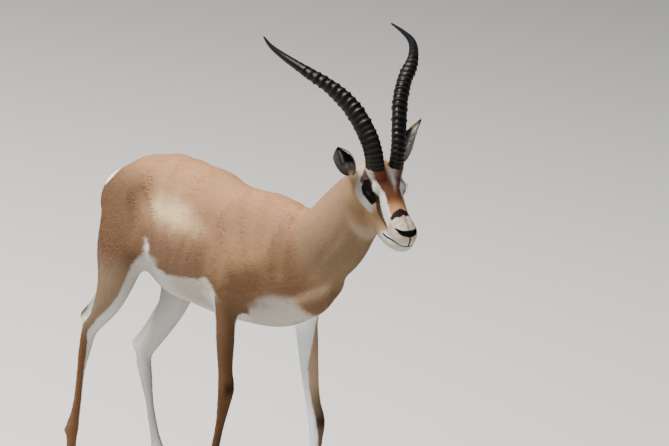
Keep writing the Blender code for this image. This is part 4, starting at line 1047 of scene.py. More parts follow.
# The same for the body, in the drawing's own axes; only x and z count, on both sides.
bodyForms = {
    "shoulder edge": ([(0.145, 0.622), (0.116, 0.655), (0.122, 0.694), (0.134, 0.750), (0.124, 0.800)], -0.0040,
                      0.018),
    "shoulder bulge": ([(0.182, 0.636), (0.158, 0.662), (0.162, 0.700), (0.172, 0.755), (0.162, 0.800)], 0.0036,
                       0.022),
    "blade crest": ([(0.146, 0.812), (0.156, 0.840), (0.178, 0.866)], 0.0034, 0.018),
    "blade hollow": ([(0.225, 0.855), (0.250, 0.800), (0.275, 0.750)], -0.0026, 0.020),
    "arm muscle": ([(0.205, 0.740), (0.225, 0.690)], 0.0036, 0.022),
    "elbow crease": ([(0.205, 0.632), (0.240, 0.638), (0.285, 0.652)], -0.0034, 0.009),
    "shoulder front": ([(0.378, 0.869), (0.364, 0.835), (0.352, 0.799), (0.354, 0.756), (0.360, 0.715)], -0.0034,
                       0.017),
    "shoulder point": ([(0.338, 0.850), (0.328, 0.800), (0.328, 0.735)], 0.0026, 0.020),
    "stifle fold": ([(-0.158, 0.812), (-0.120, 0.770), (-0.106, 0.725), (-0.110, 0.685)], -0.0058, 0.017),
    "thigh front": ([(-0.195, 0.800), (-0.160, 0.750), (-0.150, 0.690), (-0.155, 0.630)], 0.0040, 0.022),
    "hip hollow": ([(-0.105, 0.850), (-0.085, 0.815)], -0.0040, 0.022),
    "thigh": ([(-0.300, 0.740), (-0.270, 0.660), (-0.250, 0.600)], -0.0030, 0.014),
    "neck furrow": ([(0.560, 0.880), (0.500, 0.800), (0.450, 0.730)], -0.0020, 0.014),
    "chest fold": ([(0.395, 0.640), (0.445, 0.668), (0.490, 0.700)], 0.0030, 0.012),
    "breast fold": ([(0.400, 0.612), (0.450, 0.640), (0.492, 0.676)], -0.0034, 0.010),
    "neck wrinkle 1": ([(0.390, 0.900), (0.372, 0.872), (0.366, 0.840)], -0.0024, 0.0055),
    "neck wrinkle 2": ([(0.372, 0.890), (0.352, 0.862), (0.344, 0.835)], -0.0020, 0.0050),
    "neck wrinkle 3": ([(0.352, 0.878), (0.330, 0.855), (0.318, 0.832)], -0.0018, 0.0055),
    "rib 1": ([(0.100, 0.760), (0.075, 0.710), (0.062, 0.660)], 0.0009, 0.009),
    "rib 2": ([(0.062, 0.765), (0.035, 0.715), (0.020, 0.660)], 0.0009, 0.009),
    "rib 3": ([(0.020, 0.765), (-0.005, 0.715), (-0.020, 0.655)], 0.0009, 0.009),
}
# Raised (+) or lowered (-) along the top line, then pressed in at the back of the thighs
crestForms = {
    "croup": ([(-0.225, 0.882), (-0.165, 0.892)], 0.0090, 0.055),
    "hip": ([(-0.125, 0.893), (-0.095, 0.890)], 0.0120, 0.045),
    "loin": ([(-0.050, 0.886), (0.020, 0.880)], 0.0075, 0.042),
    "withers": ([(0.240, 0.876), (0.300, 0.870)], 0.0080, 0.032),
    "neck root": ([(0.372, 0.895), (0.385, 0.905)], -0.0130, 0.028),
}
eyes = {
    "spot": (0.0, 0.0340, 0.0), "size": 0.0165, "axis": (0.10, 1.0, 0.04), "tilt": -13,
    "wide": 56, "upper": 36, "lower": 31, "lid": 0.0015, "sunk": 0.0026, "collar": 20,
    "rows": 40, "around": 48, "bulge": 0.0007, "rimSteps": 72, "rimReach": 0.0009, "rimSize": 0.0012,
}
refining = {"middle": (0.035, 0, -0.02), "head": 0.150, "eye": 0.034, "muzzle": 0.080}


def swell(spots, line, out, wide):
    return out * np.exp(-((lineDistance(spots, line)[0] / wide) ** 2))


# The eye's own axes in the head: outward, along the opening towards the nose, and up
def eyeAxes(sign):
    look = unit(np.array([eyes["axis"][0], sign * eyes["axis"][1], eyes["axis"][2]]))
    front = unit(np.array([1.0, 0, 0]) - look * look[0])
    over = np.cross(look, front) * -sign
    over = over if over[2] > 0 else -over
    tilt = math.radians(eyes["tilt"])
    return look, front * math.cos(tilt) + over * math.sin(tilt), over * math.cos(tilt) - front * math.sin(tilt)


def eyeCentre(sign):
    return np.array(eyes["spot"]) * (1, sign, 1)


# Degrees up to the upper lid and down to the lower one, at a share t of the opening's half width
def lids(t):
    return eyes["upper"] * (1 - t**2.3), eyes["lower"] * (1 - t**1.9)


# How many degrees each spot lies inside the eye's opening (negative outside it), how far it is from the
# eye's centre, and how many degrees it stands above it
def lidDegrees(h, sign):
    look, front, over = eyeAxes(sign)
    offset = h - eyeCentre(sign)
    gap = np.linalg.norm(offset, axis=1)
    across = np.degrees(np.arctan2(offset @ front, offset @ look))
    rise = np.degrees(np.arctan2(offset @ over, offset @ look))
    t = np.abs(across) / eyes["wide"]
    upper, lower = lids(t)
    inside = np.minimum(upper - rise, rise + lower)
    return np.where(t < 1, inside, np.minimum(inside, (1 - t) * eyes["wide"])), gap, rise


def faceGap(h):
    return np.linalg.norm(h - np.array(refining["middle"]), axis=1)


# Cuts the head's faces smaller, and those of the eyes and muzzle once more
def refineHead(mesh):
    form = bmesh.new()
    form.from_mesh(mesh)
    for pick in (
        lambda h: faceGap(h) < refining["head"],
        lambda h: (np.linalg.norm(mirrored(h) - np.array(eyes["spot"]), axis=1) < refining["eye"])
        | (h[:, 0] > refining["muzzle"]),
    ):
        form.verts.ensure_lookup_table()
        inside = pick(toHead(np.array([v.co for v in form.verts])))
        chosen = [e for e in form.edges if inside[e.verts[0].index] and inside[e.verts[1].index]]
        bmesh.ops.subdivide_edges(form, edges=chosen, cuts=1, use_grid_fill=True)
        form.verts.index_update()
        form.to_mesh(mesh)
        spots = readSpots(mesh)
        pull = ease(refining["head"], refining["head"] - 0.02, faceGap(toHead(spots)))
        spots = relax(mesh, spots, pull, 5, back=0.52)
        for vert, spot in zip(form.verts, spots):
            vert.co = spot
    form.to_mesh(mesh)
    form.free()


def shapeHead(mesh):
    spots, normals = readSpots(mesh), readSpots(mesh, "normal")
    h = toHead(spots)
    m = mirrored(h)
    near = headNearness(spots)
    push = sum(swell(m, *values) for values in headForms.values())
    pit = lineDistance(m, face["nostril"])[0]
    push = push - 0.0050 * np.exp(-((pit / 0.0022) ** 2)) + 0.0009 * np.exp(-(((pit - 0.0048) / 0.0020) ** 2))
    push = push - 0.0019 * np.exp(-((lineDistance(m, face["mouthLine"])[0] / 0.0013) ** 2))
    push = push - 0.0010 * np.exp(-((lineDistance(m, face["midline"])[0] / 0.0012) ** 2))
    spots = spots + normals * (push * near)[:, None]
    h = toHead(spots)
    for sign in sides.values():
        inside, gap, rise = lidDegrees(h, sign)
        centre = eyeCentre(sign)
        close = (gap < 0.030) & ((h - centre) @ eyeAxes(sign)[0] > 0.002)
        rim = eyes["size"] + eyes["lid"] + 0.0009 * np.exp(-(((inside + 11) / 4.0) ** 2)) * (rise > 0)
        natural = ease(-3, -eyes["collar"], inside)
        lid = np.maximum(rim * (1 - natural) + gap * natural, np.minimum(rim, gap + 0.0035))
        target = np.where(inside > 0, np.minimum(gap, eyes["size"] - eyes["sunk"]), lid)
        h[close] = (centre + (h - centre) * (target / np.maximum(gap, 1e-6))[:, None])[close]
    writeSpots(mesh, fromHead(h))


def shapeBody(mesh):
    spots, normals = readSpots(mesh), readSpots(mesh, "normal")
    flat = spots[:, [0, 2]]
    push = sum(swell(flat, *values) for values in bodyForms.values()) * ease(0.15, 0.6, np.abs(normals[:, 1]))
    trunk = ease(0.58, 0.66, spots[:, 2]) * (1 - headNearness(spots))
    outside = ease(0.0, 0.02, spots[:, 1] * np.sign(normals[:, 1]))
    spots = spots + normals * (push * trunk * outside)[:, None]
    spots[:, 2] += sum(swell(flat, *values) for values in crestForms.values()) * ease(0.1, 0.6, normals[:, 2]) * trunk
    hams = np.exp(-(((spots[:, 2] - 0.700) / 0.075) ** 2)) * ease(-0.25, -0.70, normals[:, 0])
    hams = hams * ease(-0.20, -0.24, spots[:, 0])
    spots[:, 0] += 0.008 * hams * ease(0.05, 0.08, np.abs(spots[:, 1]))
    # grooves beside the tendons of the cannons
    for lines, knee, fetlock in ((foreLines, 6, 11), (hindLines, 7, 12)):
        for side in sides:
            line = np.array(lines[side][knee:fetlock + 1])
            gap, at, angle, _ = legPlace(spots, line, [(0.02, 0.02, 0.02)] * len(line))
            inner = ease(0.030, 0.024, gap) * ease(0.25, 0.8, at) * ease(len(line) - 1.05, len(line) - 1.6, at)
            groove = np.exp(-(((np.degrees(np.abs(angle)) - 108) / 16) ** 2))
            spots = spots - normals * (0.0012 * groove * inner)[:, None]
    writeSpots(mesh, spots)


# A cupped leaf from the root to the tip, with colours that darken in its cup
def earShell(side):
    ear = ears[side]
    root, tip, mouth = Vector(ear["base"]), Vector(ear["tip"]), Vector(ear["mouth"])
    along = (tip - root).normalized()
    mouth = (mouth - along * mouth.dot(along)).normalized()
    across = along.cross(mouth)
    length = (tip - root).length
    rows, columns, thick = ears["rows"], ears["columns"], ears["thick"]
    spots, colours = [], []
    for face in (1, -1):
        for i in range(rows + 1):
            t = i / rows
            half = ear["width"] * max(0.04, math.sin(math.pi * min(1, t**0.62)) ** 0.70, 0.50 * (1 - t) ** 2)
            curl = math.radians(150 - 95 * min(1, t * 1.5) + 20 * t)
            radius = half / curl * 1.7
            bow = mouth * (0.10 * length * math.sin(math.pi * t))
            for k in range(columns + 1):
                s = 2 * k / columns - 1
                edge = 1 - abs(s) ** 6
                reach = max(radius + face * thick * edge / 2, 0.0004)
                turn = curl * s
                ridge = 0.0
                if face < 0:
                    ridge = 0.0007 * math.sin(9 * s + 2.5) * min(1,
                            3 * (1 - abs(s))) * math.sin(math.pi * min(1, t * 1.2))
                    reach -= abs(ridge)
                spot = root + along * length * t - bow
                spot += mouth * (radius - reach * math.cos(turn)) + across * reach * math.sin(turn)
                spots.append(spot)
                colours.append(earTint(side, face, t, s))
    form = bmesh.new()
    verts = [form.verts.new(headMatrix @ spot) for spot in spots]
    width = columns + 1
    half = (rows + 1) * width
    for i in range(rows):
        for k in range(columns):
            a, b, c, d = i * width + k, i * width + k + 1, (i + 1) * width + k + 1, (i + 1) * width + k
            form.faces.new([verts[n] for n in (a, b, c, d)])
            form.faces.new([verts[half + n] for n in (b, a, d, c)])
        for k in (0, columns):
            a, b = i * width + k, (i + 1) * width + k
            loop = [verts[a], verts[b], verts[half + b], verts[half + a]]
            form.faces.new(loop if k == 0 else loop[::-1])
    for k in range(columns):
        for i in (0, rows):
            a, b = i * width + k, i * width + k + 1
            loop = [verts[b], verts[a], verts[half + a], verts[half + b]]
            form.faces.new(loop if i == 0 else loop[::-1])
    return form, np.array(colours)


# A number between 0 and 1 that rises from low to high, or falls where low is the larger
def ramp(low, high, value):
    return min(1, max(0, (value - low) / (high - low)))


# The ear's colour: face 1 is its back and -1 its cup, t runs from root to tip and s across it
def earTint(side, face, t, s):
    # painted shade: the near ear's pale hair is a greyed copy of the far ear's white
    pale = np.array(tints["earWhiteInShade" if side == "right" else "white"])
    dark, white = np.array(tints["earDark"]), np.array(tints["white"])
    rim = max(0.0, 1 - (1 - abs(s)) / 0.28)
    tipShade = ramp(0.84, 0.96, t)
    if face > 0:
        colour = np.array(tints["earBack"]) * (1 - 0.25 * t)
        colour = colour + (white * 0.90 - colour) * 0.85 * rim
        return colour + (dark - colour) * 0.9 * tipShade
    outward = -s * sides[side]
    begins, full, ends, fades = ears["dark"][side]
    colour = pale + (dark - pale) * ramp(begins, full, outward) * ramp(ends, fades, outward) * ramp(0.16, 0.26, t)
    root = math.exp(-(((outward - 0.02) / 0.07) ** 2)) * ramp(0.34, 0.26, t)
    colour = colour + (dark - colour) * root * 0.8
    for place, wide, low, high in ears["strokes"]:
        bend = place + 0.16 * math.sin(math.pi * t)
        drawn = math.exp(-(((outward - bend) / wide) ** 2)) * ramp(low, low + 0.08, t) * ramp(high, high - 0.08, t)
        colour = colour + (white * 0.75 - colour) * 0.85 * drawn
    colour = colour + (white * 0.90 - colour) * 0.85 * rim * (1 - tipShade)
    return colour + (dark - colour) * tipShade


# A dark roll round each opening, the lid's wet edge
def lidRim(sign):
    look, front, over = eyeAxes(sign)
    centre = eyeCentre(sign)
    path = []
    steps = eyes["rimSteps"]
    for k in range(steps):
        turn = 2 * math.pi * k / steps
        across = eyes["wide"] * math.cos(turn)
        t = abs(math.cos(turn))
        upper, lower = lids(t)
        rise = upper if k < steps / 2 else -lower
        a, b = math.radians(across), math.radians(rise)
        way = unit(look + front * math.tan(a) + over * math.tan(b))
        path.append(centre + way * (eyes["size"] + eyes["rimReach"]))
    form = bmesh.new()
    loops = []
    for k, spot in enumerate(path):
        run = unit(path[(k + 1) % steps] - path[k - 1])
        outward = unit(spot - centre)
        aside = np.cross(run, outward)
        loops.append([
            form.verts.new(headMatrix @ Vector(spot + (outward * math.cos(a) + aside * math.sin(a))
                                               * eyes["rimSize"]))
            for a in np.arange(8) * math.pi / 4
        ])
    joinLoops(form, loops + [loops[0]])
    return form


eyeLook = {"iris": (0.007, 0.004, 0.003), "pupil": (0.002, 0.002, 0.003), "edge": (0.010, 0.006, 0.005)}


def makeEye(side, sign):
    look, front, over = eyeAxes(sign)
    centre = eyeCentre(sign)
    rows, around = eyes["rows"], eyes["around"]
    form = bmesh.new()
    loops, colours = [], []
    for i in range(1, rows):
        polar = math.pi * i / rows
        bulge = eyes["bulge"] * math.exp(-((math.degrees(polar) / 30) ** 2))
        loop = []
        for k in range(around):
            turn = 2 * math.pi * k / around
            way = look * math.cos(polar) + (front * math.cos(turn) + over * math.sin(turn)) * math.sin(polar)
            loop.append(form.verts.new(headMatrix @ Vector(centre + way * (eyes["size"] + bulge))))
            wide, tall = math.degrees(polar) * math.cos(turn), math.degrees(polar) * math.sin(turn)
            pupil = ease(1.25, 0.95, np.hypot(wide / 20, tall / 9))
            ball = ease(42, 50, math.degrees(polar))
            colour = np.array(eyeLook["iris"]) * (1 + 0.15 * math.sin(24 * turn))
            colour = colour + (np.array(eyeLook["pupil"]) - colour) * pupil
            colours.append(colour + (np.array(eyeLook["edge"]) - colour) * ball)
        loops.append(loop)
    joinLoops(form, loops)
    nearPole, farPole = look * (eyes["size"] + eyes["bulge"]), -look * eyes["size"]
    for loop, way, tint in ((loops[0], nearPole, "pupil"), (loops[-1], farPole, "edge")):
        tip = form.verts.new(headMatrix @ Vector(centre + way))
        colours.append(np.array(eyeLook[tint]))
        capLoop(form, loop, tip)
    thing = meshObject("eyeball_" + side, form)
    paint(thing.data, np.array(colours))
    thing.data.materials.append(eyeFinish)
    return thing


def makeHorn(side, sign):
    line = np.array(horns["line"]) * (1, sign, 1)
    rows = smoothRows(line, 30)
    step = np.concatenate([[0], np.cumsum(np.linalg.norm(np.diff(rows, axis=0), axis=1))])
    share = np.linspace(0, 1, horns["samples"]) ** 0.94
    rows = np.stack([np.interp(share * step[-1], step, rows[:, k]) for k in range(3)], axis=1)
    along = unit(np.gradient(rows, axis=0))
    sizes = np.array(horns["sizes"])
    long, short = np.interp(share, sizes[:, 0], sizes[:, 1]), np.interp(share, sizes[:, 0], sizes[:, 2])
    counted = np.clip((share - horns["from"]) / (horns["to"] - horns["from"]), 0, 1)
    counted = counted ** (1 / horns["spread"]) * horns["rings"]
    facing = hornFacing(sign)
    form = bmesh.new()
    loops, crestWearAndHighlight, combed = [], [], []
    uneven = 1 + horns["uneven"] * np.random.default_rng(horns["seed"]).normal(size=horns["rings"] + 2)
    for i, (spot, a) in enumerate(zip(rows, along)):
        run = Vector(a)
        front = (facing - run * facing.dot(run)).normalized()
        aside = run.cross(front)
        fade = ease(horns["from"] - 0.01, horns["from"] + 0.02, share[i])
        fade = fade * ease(horns["to"] + 0.02, horns["to"] - 0.22, share[i])
        crest = 1 - abs(math.sin(math.pi * (counted[i] % 1.0))) ** 0.8
        ring = int(round(counted[i]))
        height = horns["rise"] * (0.35 + 0.65 * fade) * uneven[min(ring, horns["rings"])] * min(1, long[i] / 0.016)
        height *= 0 < counted[i] < horns["rings"]
        loop = []
        for k in range(horns["around"]):
            turn = 2 * math.pi * k / horns["around"]
            wave = 1 + 0.22 * math.cos(turn) + 0.10 * math.sin(3 * turn + ring * 1.7)
            lift = height * crest * wave * fade - 0.0006 * fade
            lift += 0.00015 * math.sin(13 * turn + 0.7 * math.sin(31 * share[i]))
            place = Vector(spot) + front * math.cos(turn) * (long[i] + lift)
            place = place + aside * math.sin(turn) * (short[i] + lift)
            loop.append(form.verts.new(headMatrix @ place))
            # the crests are paler, partly from wear and partly as a painted highlight
            crestWearAndHighlight.append(min(1, crest**2.2 * fade * horns["paleCrest"] * wave * (0.55 + 0.45 * math.cos(turn * 0.5) ** 2)))
            combed.append((math.cos(turn) * 0.02, math.sin(turn) * 0.02, step[-1] * share[i] * horns["grain"]))
        loops.append(loop)
    joinLoops(form, loops)
    for loop, spot, a, push in ((loops[0], rows[0], along[0], -0.004), (loops[-1], rows[-1], along[-1], 0.0022)):
        tip = form.verts.new(headMatrix @ Vector(spot + a * push))
        crestWearAndHighlight.append(0.0)
        combed.append((0, 0, step[-1] * horns["grain"] * (push > 0)))
        capLoop(form, loop, tip)
    thing = meshObject("ringed_horn_" + side, form)
    thing.data.attributes.new("crestWearAndHighlight", "FLOAT", "POINT").data.foreach_set("value", np.array(crestWearAndHighlight, np.float32))
    setCombed(thing.data, combed)
    thing.data.materials.append(hornFinish)
    return thing


claws = {
    "length": 0.054, "height": 0.034, "half": 0.0086, "cleft": 0.0012, "heel": -0.010,
    "spread": 1.88, "topSpread": 1.58, "grain": (0.25, 0.25, 1.6),
    # share of the way from heel to toe: half width at the sole and at the top, and the top's height
    "plan": [
        (0.00, 0.55, 0.50, 0.60), (0.18, 0.95, 0.85, 0.76), (0.42, 1.08, 0.90, 0.94),
        (0.62, 1.02, 0.70, 0.98), (0.82, 0.72, 0.38, 0.58), (1.00, 0.22, 0.12, 0.16),
    ],
}


def makeClaws(limb, side):
    line = (foreLines if limb == "fore" else hindLines)[side]
    place = Matrix.Translation(line[-1]) @ Matrix.Rotation(math.radians(footPitch[limb + "_" + side]), 4, "Y")
    plan = smoothRows([(row[0], 0, 0, *row[1:]) for row in claws["plan"]], 5)
    form = bmesh.new()
    for hand in (-1, 1):
        loops = []
        for share, _, _, sole, top, height in plan:
            x = claws["heel"] + claws["length"] * share
            lean, z = -0.010 * height, claws["height"] * height
            low = claws["cleft"] + claws["half"] * claws["spread"] * sole
            high = claws["cleft"] + claws["half"] * claws["topSpread"] * top
            loop = []
            for k in range(5):  # sole
                loop.append((x, claws["cleft"] + (low - claws["cleft"]) * k / 4, 0.0006 * (k in (0, 4))))
            for k in range(1, 9):  # outer wall
                t = k / 9
                ring = 0.00022 * math.sin(t * z / 0.0021) + 0.0009 * math.sin(math.pi * t)
                loop.append((x + lean * t, low + (high - low) * t + ring, z * t))
            for k in range(5):  # top
                t = k / 4
                loop.append((x + lean, high + (claws["cleft"] - high) * t, z + 0.0010 * math.sin(math.pi * t)
                             - 0.0012 * (t == 0)))
            for k in range(1, 5):  # inner wall
                loop.append((x + lean * (1 - k / 5), claws["cleft"] + 0.0003, z * (1 - k / 5)))
            loops.append([form.verts.new((px, py * hand, pz - claws["height"])) for px, py, pz in loop])
        joinLoops(form, loops)
        form.faces.new(loops[0])
        form.faces.new(list(reversed(loops[-1])))
    form.transform(place)
    for vert in form.verts:
        vert.co.z = max(vert.co.z, 0.0)
    thing = meshObject("hoof_" + limb + "_" + side, form)
    setCombed(thing.data, readSpots(thing.data) * claws["grain"])
    thing.data.materials.append(hoofFinish)
    return thing


# Coats: tuft length and width in metres, how many, and how far the tips lift off the skin
coats = {
    "trunk_left": {"count": 19400, "length": 0.0140, "width": 0.0030, "lift": 0.0008},
    "trunk_right": {"count": 19400, "length": 0.0140, "width": 0.0030, "lift": 0.0008},
    "neck": {"count": 19400, "length": 0.0120, "width": 0.0027, "lift": 0.0008},
    "head": {"count": 19400, "length": 0.0046, "width": 0.0013, "lift": 0.0008},
    "forelegs": {"count": 19400, "length": 0.0085, "width": 0.0018, "lift": 0.0010},
    "hindlegs": {"count": 19400, "length": 0.0090, "width": 0.0019, "lift": 0.0010},
    "ears": {"count": 7000, "length": 0.0060, "width": 0.0009, "lift": 0.0012},
    "tail": {"count": 5200, "length": 0.0260, "width": 0.0016, "lift": 0.0040},
}
coatPatch = 0.0015
coatJitter = {"way": 0.10, "length": 0.35, "shade": 0.045}


# Which coat a spot belongs to; -1 where nothing grows
def coatOf(spots):
    x, y, z = spots.T
    names = list(coats)
    result = np.where(y > 0, names.index("trunk_left"), names.index("trunk_right"))
    gap, at = lineDistance(spots, [row[:3] for row in neckRows])
    result[(at > 1.3) & (gap < 0.16) & (x > 0.40)] = names.index("neck")
    result[(z < 0.60) & (x > 0)] = names.index("forelegs")
    result[(z < 0.62) & (x < 0)] = names.index("hindlegs")
    tailGap = lineDistance(spots, [row[:3] for row in tailRows])[0]
    result[(tailGap < 0.020) & (x < -0.375)] = names.index("tail")
    h = toHead(spots)
    result[faceGap(h) < 0.138] = names.index("head")
    m = mirrored(h)
    bare = (noseMask(h) > 0.3) | (lineDistance(m, face["mouthLine"])[0] < 0.0012)
    for sign in sides.values():
        inside, gap, _ = lidDegrees(h, sign)
        bare |= (inside > -4.5) & (gap < 0.022) & ((h[:, 1] * sign) > 0.03)
    result[bare] = -1
    return result


# Random spots on a mesh's triangles: place, normal, and a pick of vertex values
def scatter(mesh, values, chosen, count, weights=None):
    corners = cornersOf(mesh)[chosen]
    spots = readSpots(mesh)
    a, b, c = (spots[corners[:, k]] for k in range(3))
    area = np.linalg.norm(np.cross(b - a, c - a), axis=1)
    if weights is not None:
        area = area * weights[corners].mean(axis=1)
    ends = np.cumsum(area)
    even = (np.arange(count) + rng.random(count)) / count * ends[-1]
    picked = np.minimum(np.searchsorted(ends, even), len(corners) - 1)
    u, v = rng.random(count), rng.random(count)
    flip = u + v > 1
    u[flip], v[flip] = 1 - u[flip], 1 - v[flip]
    shares = np.stack([1 - u - v, u, v], axis=1)[:, :, None]
    corner = corners[picked]
    return [(np.asarray(value)[corner] * shares).sum(axis=1) for value in [spots, *values]]


def growCoat(name, roots, normals, ways, colours, patches, values, lengths=None, tipTint=None):
    count = len(roots)
    normals = unit(normals)
    ways = ways + rng.normal(size=ways.shape) * coatJitter["way"]
    ways = unit(ways - normals * (ways * normals).sum(1)[:, None])
    aside = np.cross(normals, ways)
    swing = 1 + coatJitter["length"] * (rng.random(count) * 2 - 1)
    length = (values["length"] * swing * (1 if lengths is None else lengths))[:, None]
    grown = length[:, 0] / values["length"]
    width = (values["width"] * (0.75 + 0.5 * rng.random(count)) * np.clip(grown, 0.45, 1.3))[:, None]
    lift = (values["lift"] * (0.55 + 0.75 * rng.random(count)) * np.clip(grown, 0.4, 1.2))[:, None]
    bend = aside * (length * rng.normal(size=(count, 1)) * 0.09)
    base = roots - normals * 0.0006
    middle = roots + ways * length * 0.5 + normals * lift * 0.62 + bend * 0.4
    tip = roots + ways * length + normals * lift * 0.55 + bend
    thick = width * 0.10
    spots = np.stack([
        base - aside * width * 0.42, base + aside * width * 0.42, base + normals * thick,
        middle - aside * width * 0.50, middle + aside * width * 0.50, middle + normals * thick,
        tip,
    ], axis=1)
    faces = np.array([
        (0, 4, 3), (0, 1, 4), (1, 5, 4), (1, 2, 5), (2, 3, 5), (2, 0, 3), (3, 4, 6), (4, 5, 6), (5, 3, 6), (0, 2, 1),
    ])
    index = (np.arange(count)[:, None, None] * 7 + faces[None]).reshape(-1, 3)
    mesh = bpy.data.meshes.new("coat_" + name)
    mesh.vertices.add(count * 7)
    mesh.vertices.foreach_set("co", spots.astype(np.float32).ravel())
    mesh.loops.add(index.size)
    mesh.loops.foreach_set("vertex_index", index.astype(np.int32).ravel())
    mesh.polygons.add(len(index))
    mesh.polygons.foreach_set("loop_start", np.arange(len(index), dtype=np.int32) * 3)
    mesh.polygons.foreach_set("loop_total", np.full(len(index), 3, np.int32))
    mesh.polygons.foreach_set("use_smooth", [True] * len(index))
    mesh.update()
    mesh.validate()
    # soft light: the normals lean to those of the skin below
    facing = unit(normals * 0.5 + np.array([0, -0.1, 0.8])) if name == "ears" else normals
    soft = unit(facing[:, None] + np.stack([
        -aside * 0.05, aside * 0.05, normals * 0.3, -aside * 0.05, aside * 0.05, normals * 0.3, ways * 0.05,
    ], axis=1))
    mesh.normals_split_custom_set_from_vertices(soft.reshape(-1, 3).astype(np.float32))
    shade = 1 + coatJitter["shade"] * rng.normal(size=(count, 1, 1))
    light = np.array([0.97, 0.97, 0.98, 1.0, 1.0, 1.0, 1.03])[None, :, None]
    tinted = np.repeat(colours[:, None], 7, axis=1)
    if tipTint is not None:
        tinted[:, 3:6] = (colours * 0.5 + tipTint * 0.5)[:, None]
        tinted[:, 6] = tipTint
    paint(mesh, (tinted * shade * light).reshape(-1, 3))
    setCombed(mesh, np.repeat(comb(roots)[:, None], 7, axis=1))
    corner = coatPatch * np.array([(-1, -1), (1, -1), (0, -0.8), (-1, 0.3), (1, 0.3), (0, 0.4), (0, 1)])
    places = patches[:, None] + corner[None]
    bake = mesh.uv_layers.new(name="OFBake")
    bake.data.foreach_set("uv", places.reshape(-1, 2)[index.ravel()].astype(np.float32).ravel())
    mesh.materials.append(coatFinish)
    thing = bpy.data.objects.new("coat_" + name, mesh)
    bpy.context.scene.collection.objects.link(thing)
    return thing


unwrapValues = {"kept": 0.06, "angle": 70, "margin": 0.004}


# Places on an unwrap of a lighter copy of the skin
def unwrapPlaces(skinThing):
    lean = bpy.data.objects.new("unwrap", skinThing.data.copy())
    bpy.context.scene.collection.objects.link(lean)
    thin = lean.modifiers.new("thin", "DECIMATE")
    thin.ratio = unwrapValues["kept"]
    bakeModifiers(lean)
    bpy.context.view_layer.objects.active = lean
    lean.select_set(True)
    bpy.ops.object.mode_set(mode="EDIT")
    bpy.ops.mesh.select_all(action="SELECT")
    bpy.ops.uv.smart_project(angle_limit=math.radians(unwrapValues["angle"]), island_margin=unwrapValues["margin"])
    bpy.ops.object.mode_set(mode="OBJECT")
    mesh = lean.data
    triangles = cornersOf(mesh)
    loops = np.array([t.loops[:] for t in mesh.loop_triangles])
    uv = np.empty(len(mesh.loops) * 2, np.float32)
    mesh.uv_layers.active.data.foreach_get("uv", uv)
    uv = uv.reshape(-1, 2)
    spots = readSpots(mesh)
    tree = BVHTree.FromPolygons([tuple(s) for s in spots], [tuple(t) for t in triangles])
    bpy.data.objects.remove(lean)

    def places(roots):
        found = [tree.find_nearest(tuple(root)) for root in roots]
        near = np.array([f[0][:] for f in found])
        number = np.array([f[2] for f in found])
        a, b, c = (spots[triangles[number, k]] for k in range(3))
        ab, ac, ap = b - a, c - a, near - a
        d00, d01, d11 = (ab * ab).sum(1), (ab * ac).sum(1), (ac * ac).sum(1)
        d20, d21 = (ap * ab).sum(1), (ap * ac).sum(1)
        scale = np.maximum(d00 * d11 - d01 * d01, 1e-16)
        v, w = (d11 * d20 - d01 * d21) / scale, (d00 * d21 - d01 * d20) / scale
        shares = np.clip(np.stack([1 - v - w, v, w], axis=1), 0, 1)
        return (uv[loops[number]] * shares[:, :, None]).sum(axis=1)

    return places


# On an ear the hair runs from its root to its tip
def earWays(spots):
    ways = np.empty_like(spots)
    h = toHead(spots)
    for side, sign in sides.items():
        run = unit(np.array(ears[side]["tip"]) - np.array(ears[side]["base"]))
        ways[h[:, 1] * sign > 0] = run @ headTurn.T
    return ways


# span: degrees across the eye from its rear corner to its front one; out: metres off the eyeball
lashLook = {"length": 0.0085, "width": 0.0007, "lift": 0.0012, "span": (-40, 46), "count": 16, "out": 0.0018}


# Eyelashes: roots along the upper lid, the way they stand and the way up
def lashes():
    roots, ways, normals = [], [], []
    for sign in sides.values():
        look, front, over = eyeAxes(sign)
        centre = eyeCentre(sign)
        for across in np.linspace(*lashLook["span"], lashLook["count"]):
            t = abs(across) / eyes["wide"]
            a, b = math.radians(across), math.radians(lids(t)[0])
            way = unit(look + front * math.tan(a) + over * math.tan(b))
            roots.append(centre + way * (eyes["size"] + lashLook["out"]))
            ways.append(unit(look * 0.9 + front * math.sin(a) * 0.8 - over * 0.25))
            normals.append(unit(over - look * 0.1))
    return fromHead(np.array(roots)), np.array(ways) @ headTurn.T, np.array(normals) @ headTurn.T


makeStage()
print("stage, light and camera ready")

skinThing = makeSkin()
refineHead(skinThing.data)
snapFace(skinThing.data)
shapeHead(skinThing.data)
shapeBody(skinThing.data)
skinSpots = readSpots(skinThing.data)
skinNormals = readSpots(skinThing.data, "normal")
skinTints = coatTint(skinSpots, skinNormals)
print("skin shaped", len(skinSpots))

joined = bmesh.new()
joined.from_mesh(skinThing.data)
earTints = {}
for side in sides:
    shell, earTints[side] = earShell(side)
    addPart(joined, shell)
rimCount = 0
for sign in sides.values():
    rim = lidRim(sign)
    rimCount += len(rim.verts)
    addPart(joined, rim)
bpy.data.objects.remove(skinThing)
skinThing = meshObject("skin", joined)
allTints = np.concatenate([skinTints, earTints["left"], earTints["right"],
                           np.repeat([tints["black"]], rimCount, axis=0)])
paint(skinThing.data, allTints)
allSpots, allNormals = readSpots(skinThing.data), readSpots(skinThing.data, "normal")
setCombed(skinThing.data, comb(allSpots))
skinThing.data.materials.append(skinFinish)
places = unwrapPlaces(skinThing)
print("skin dressed and unwrapped", len(allSpots))

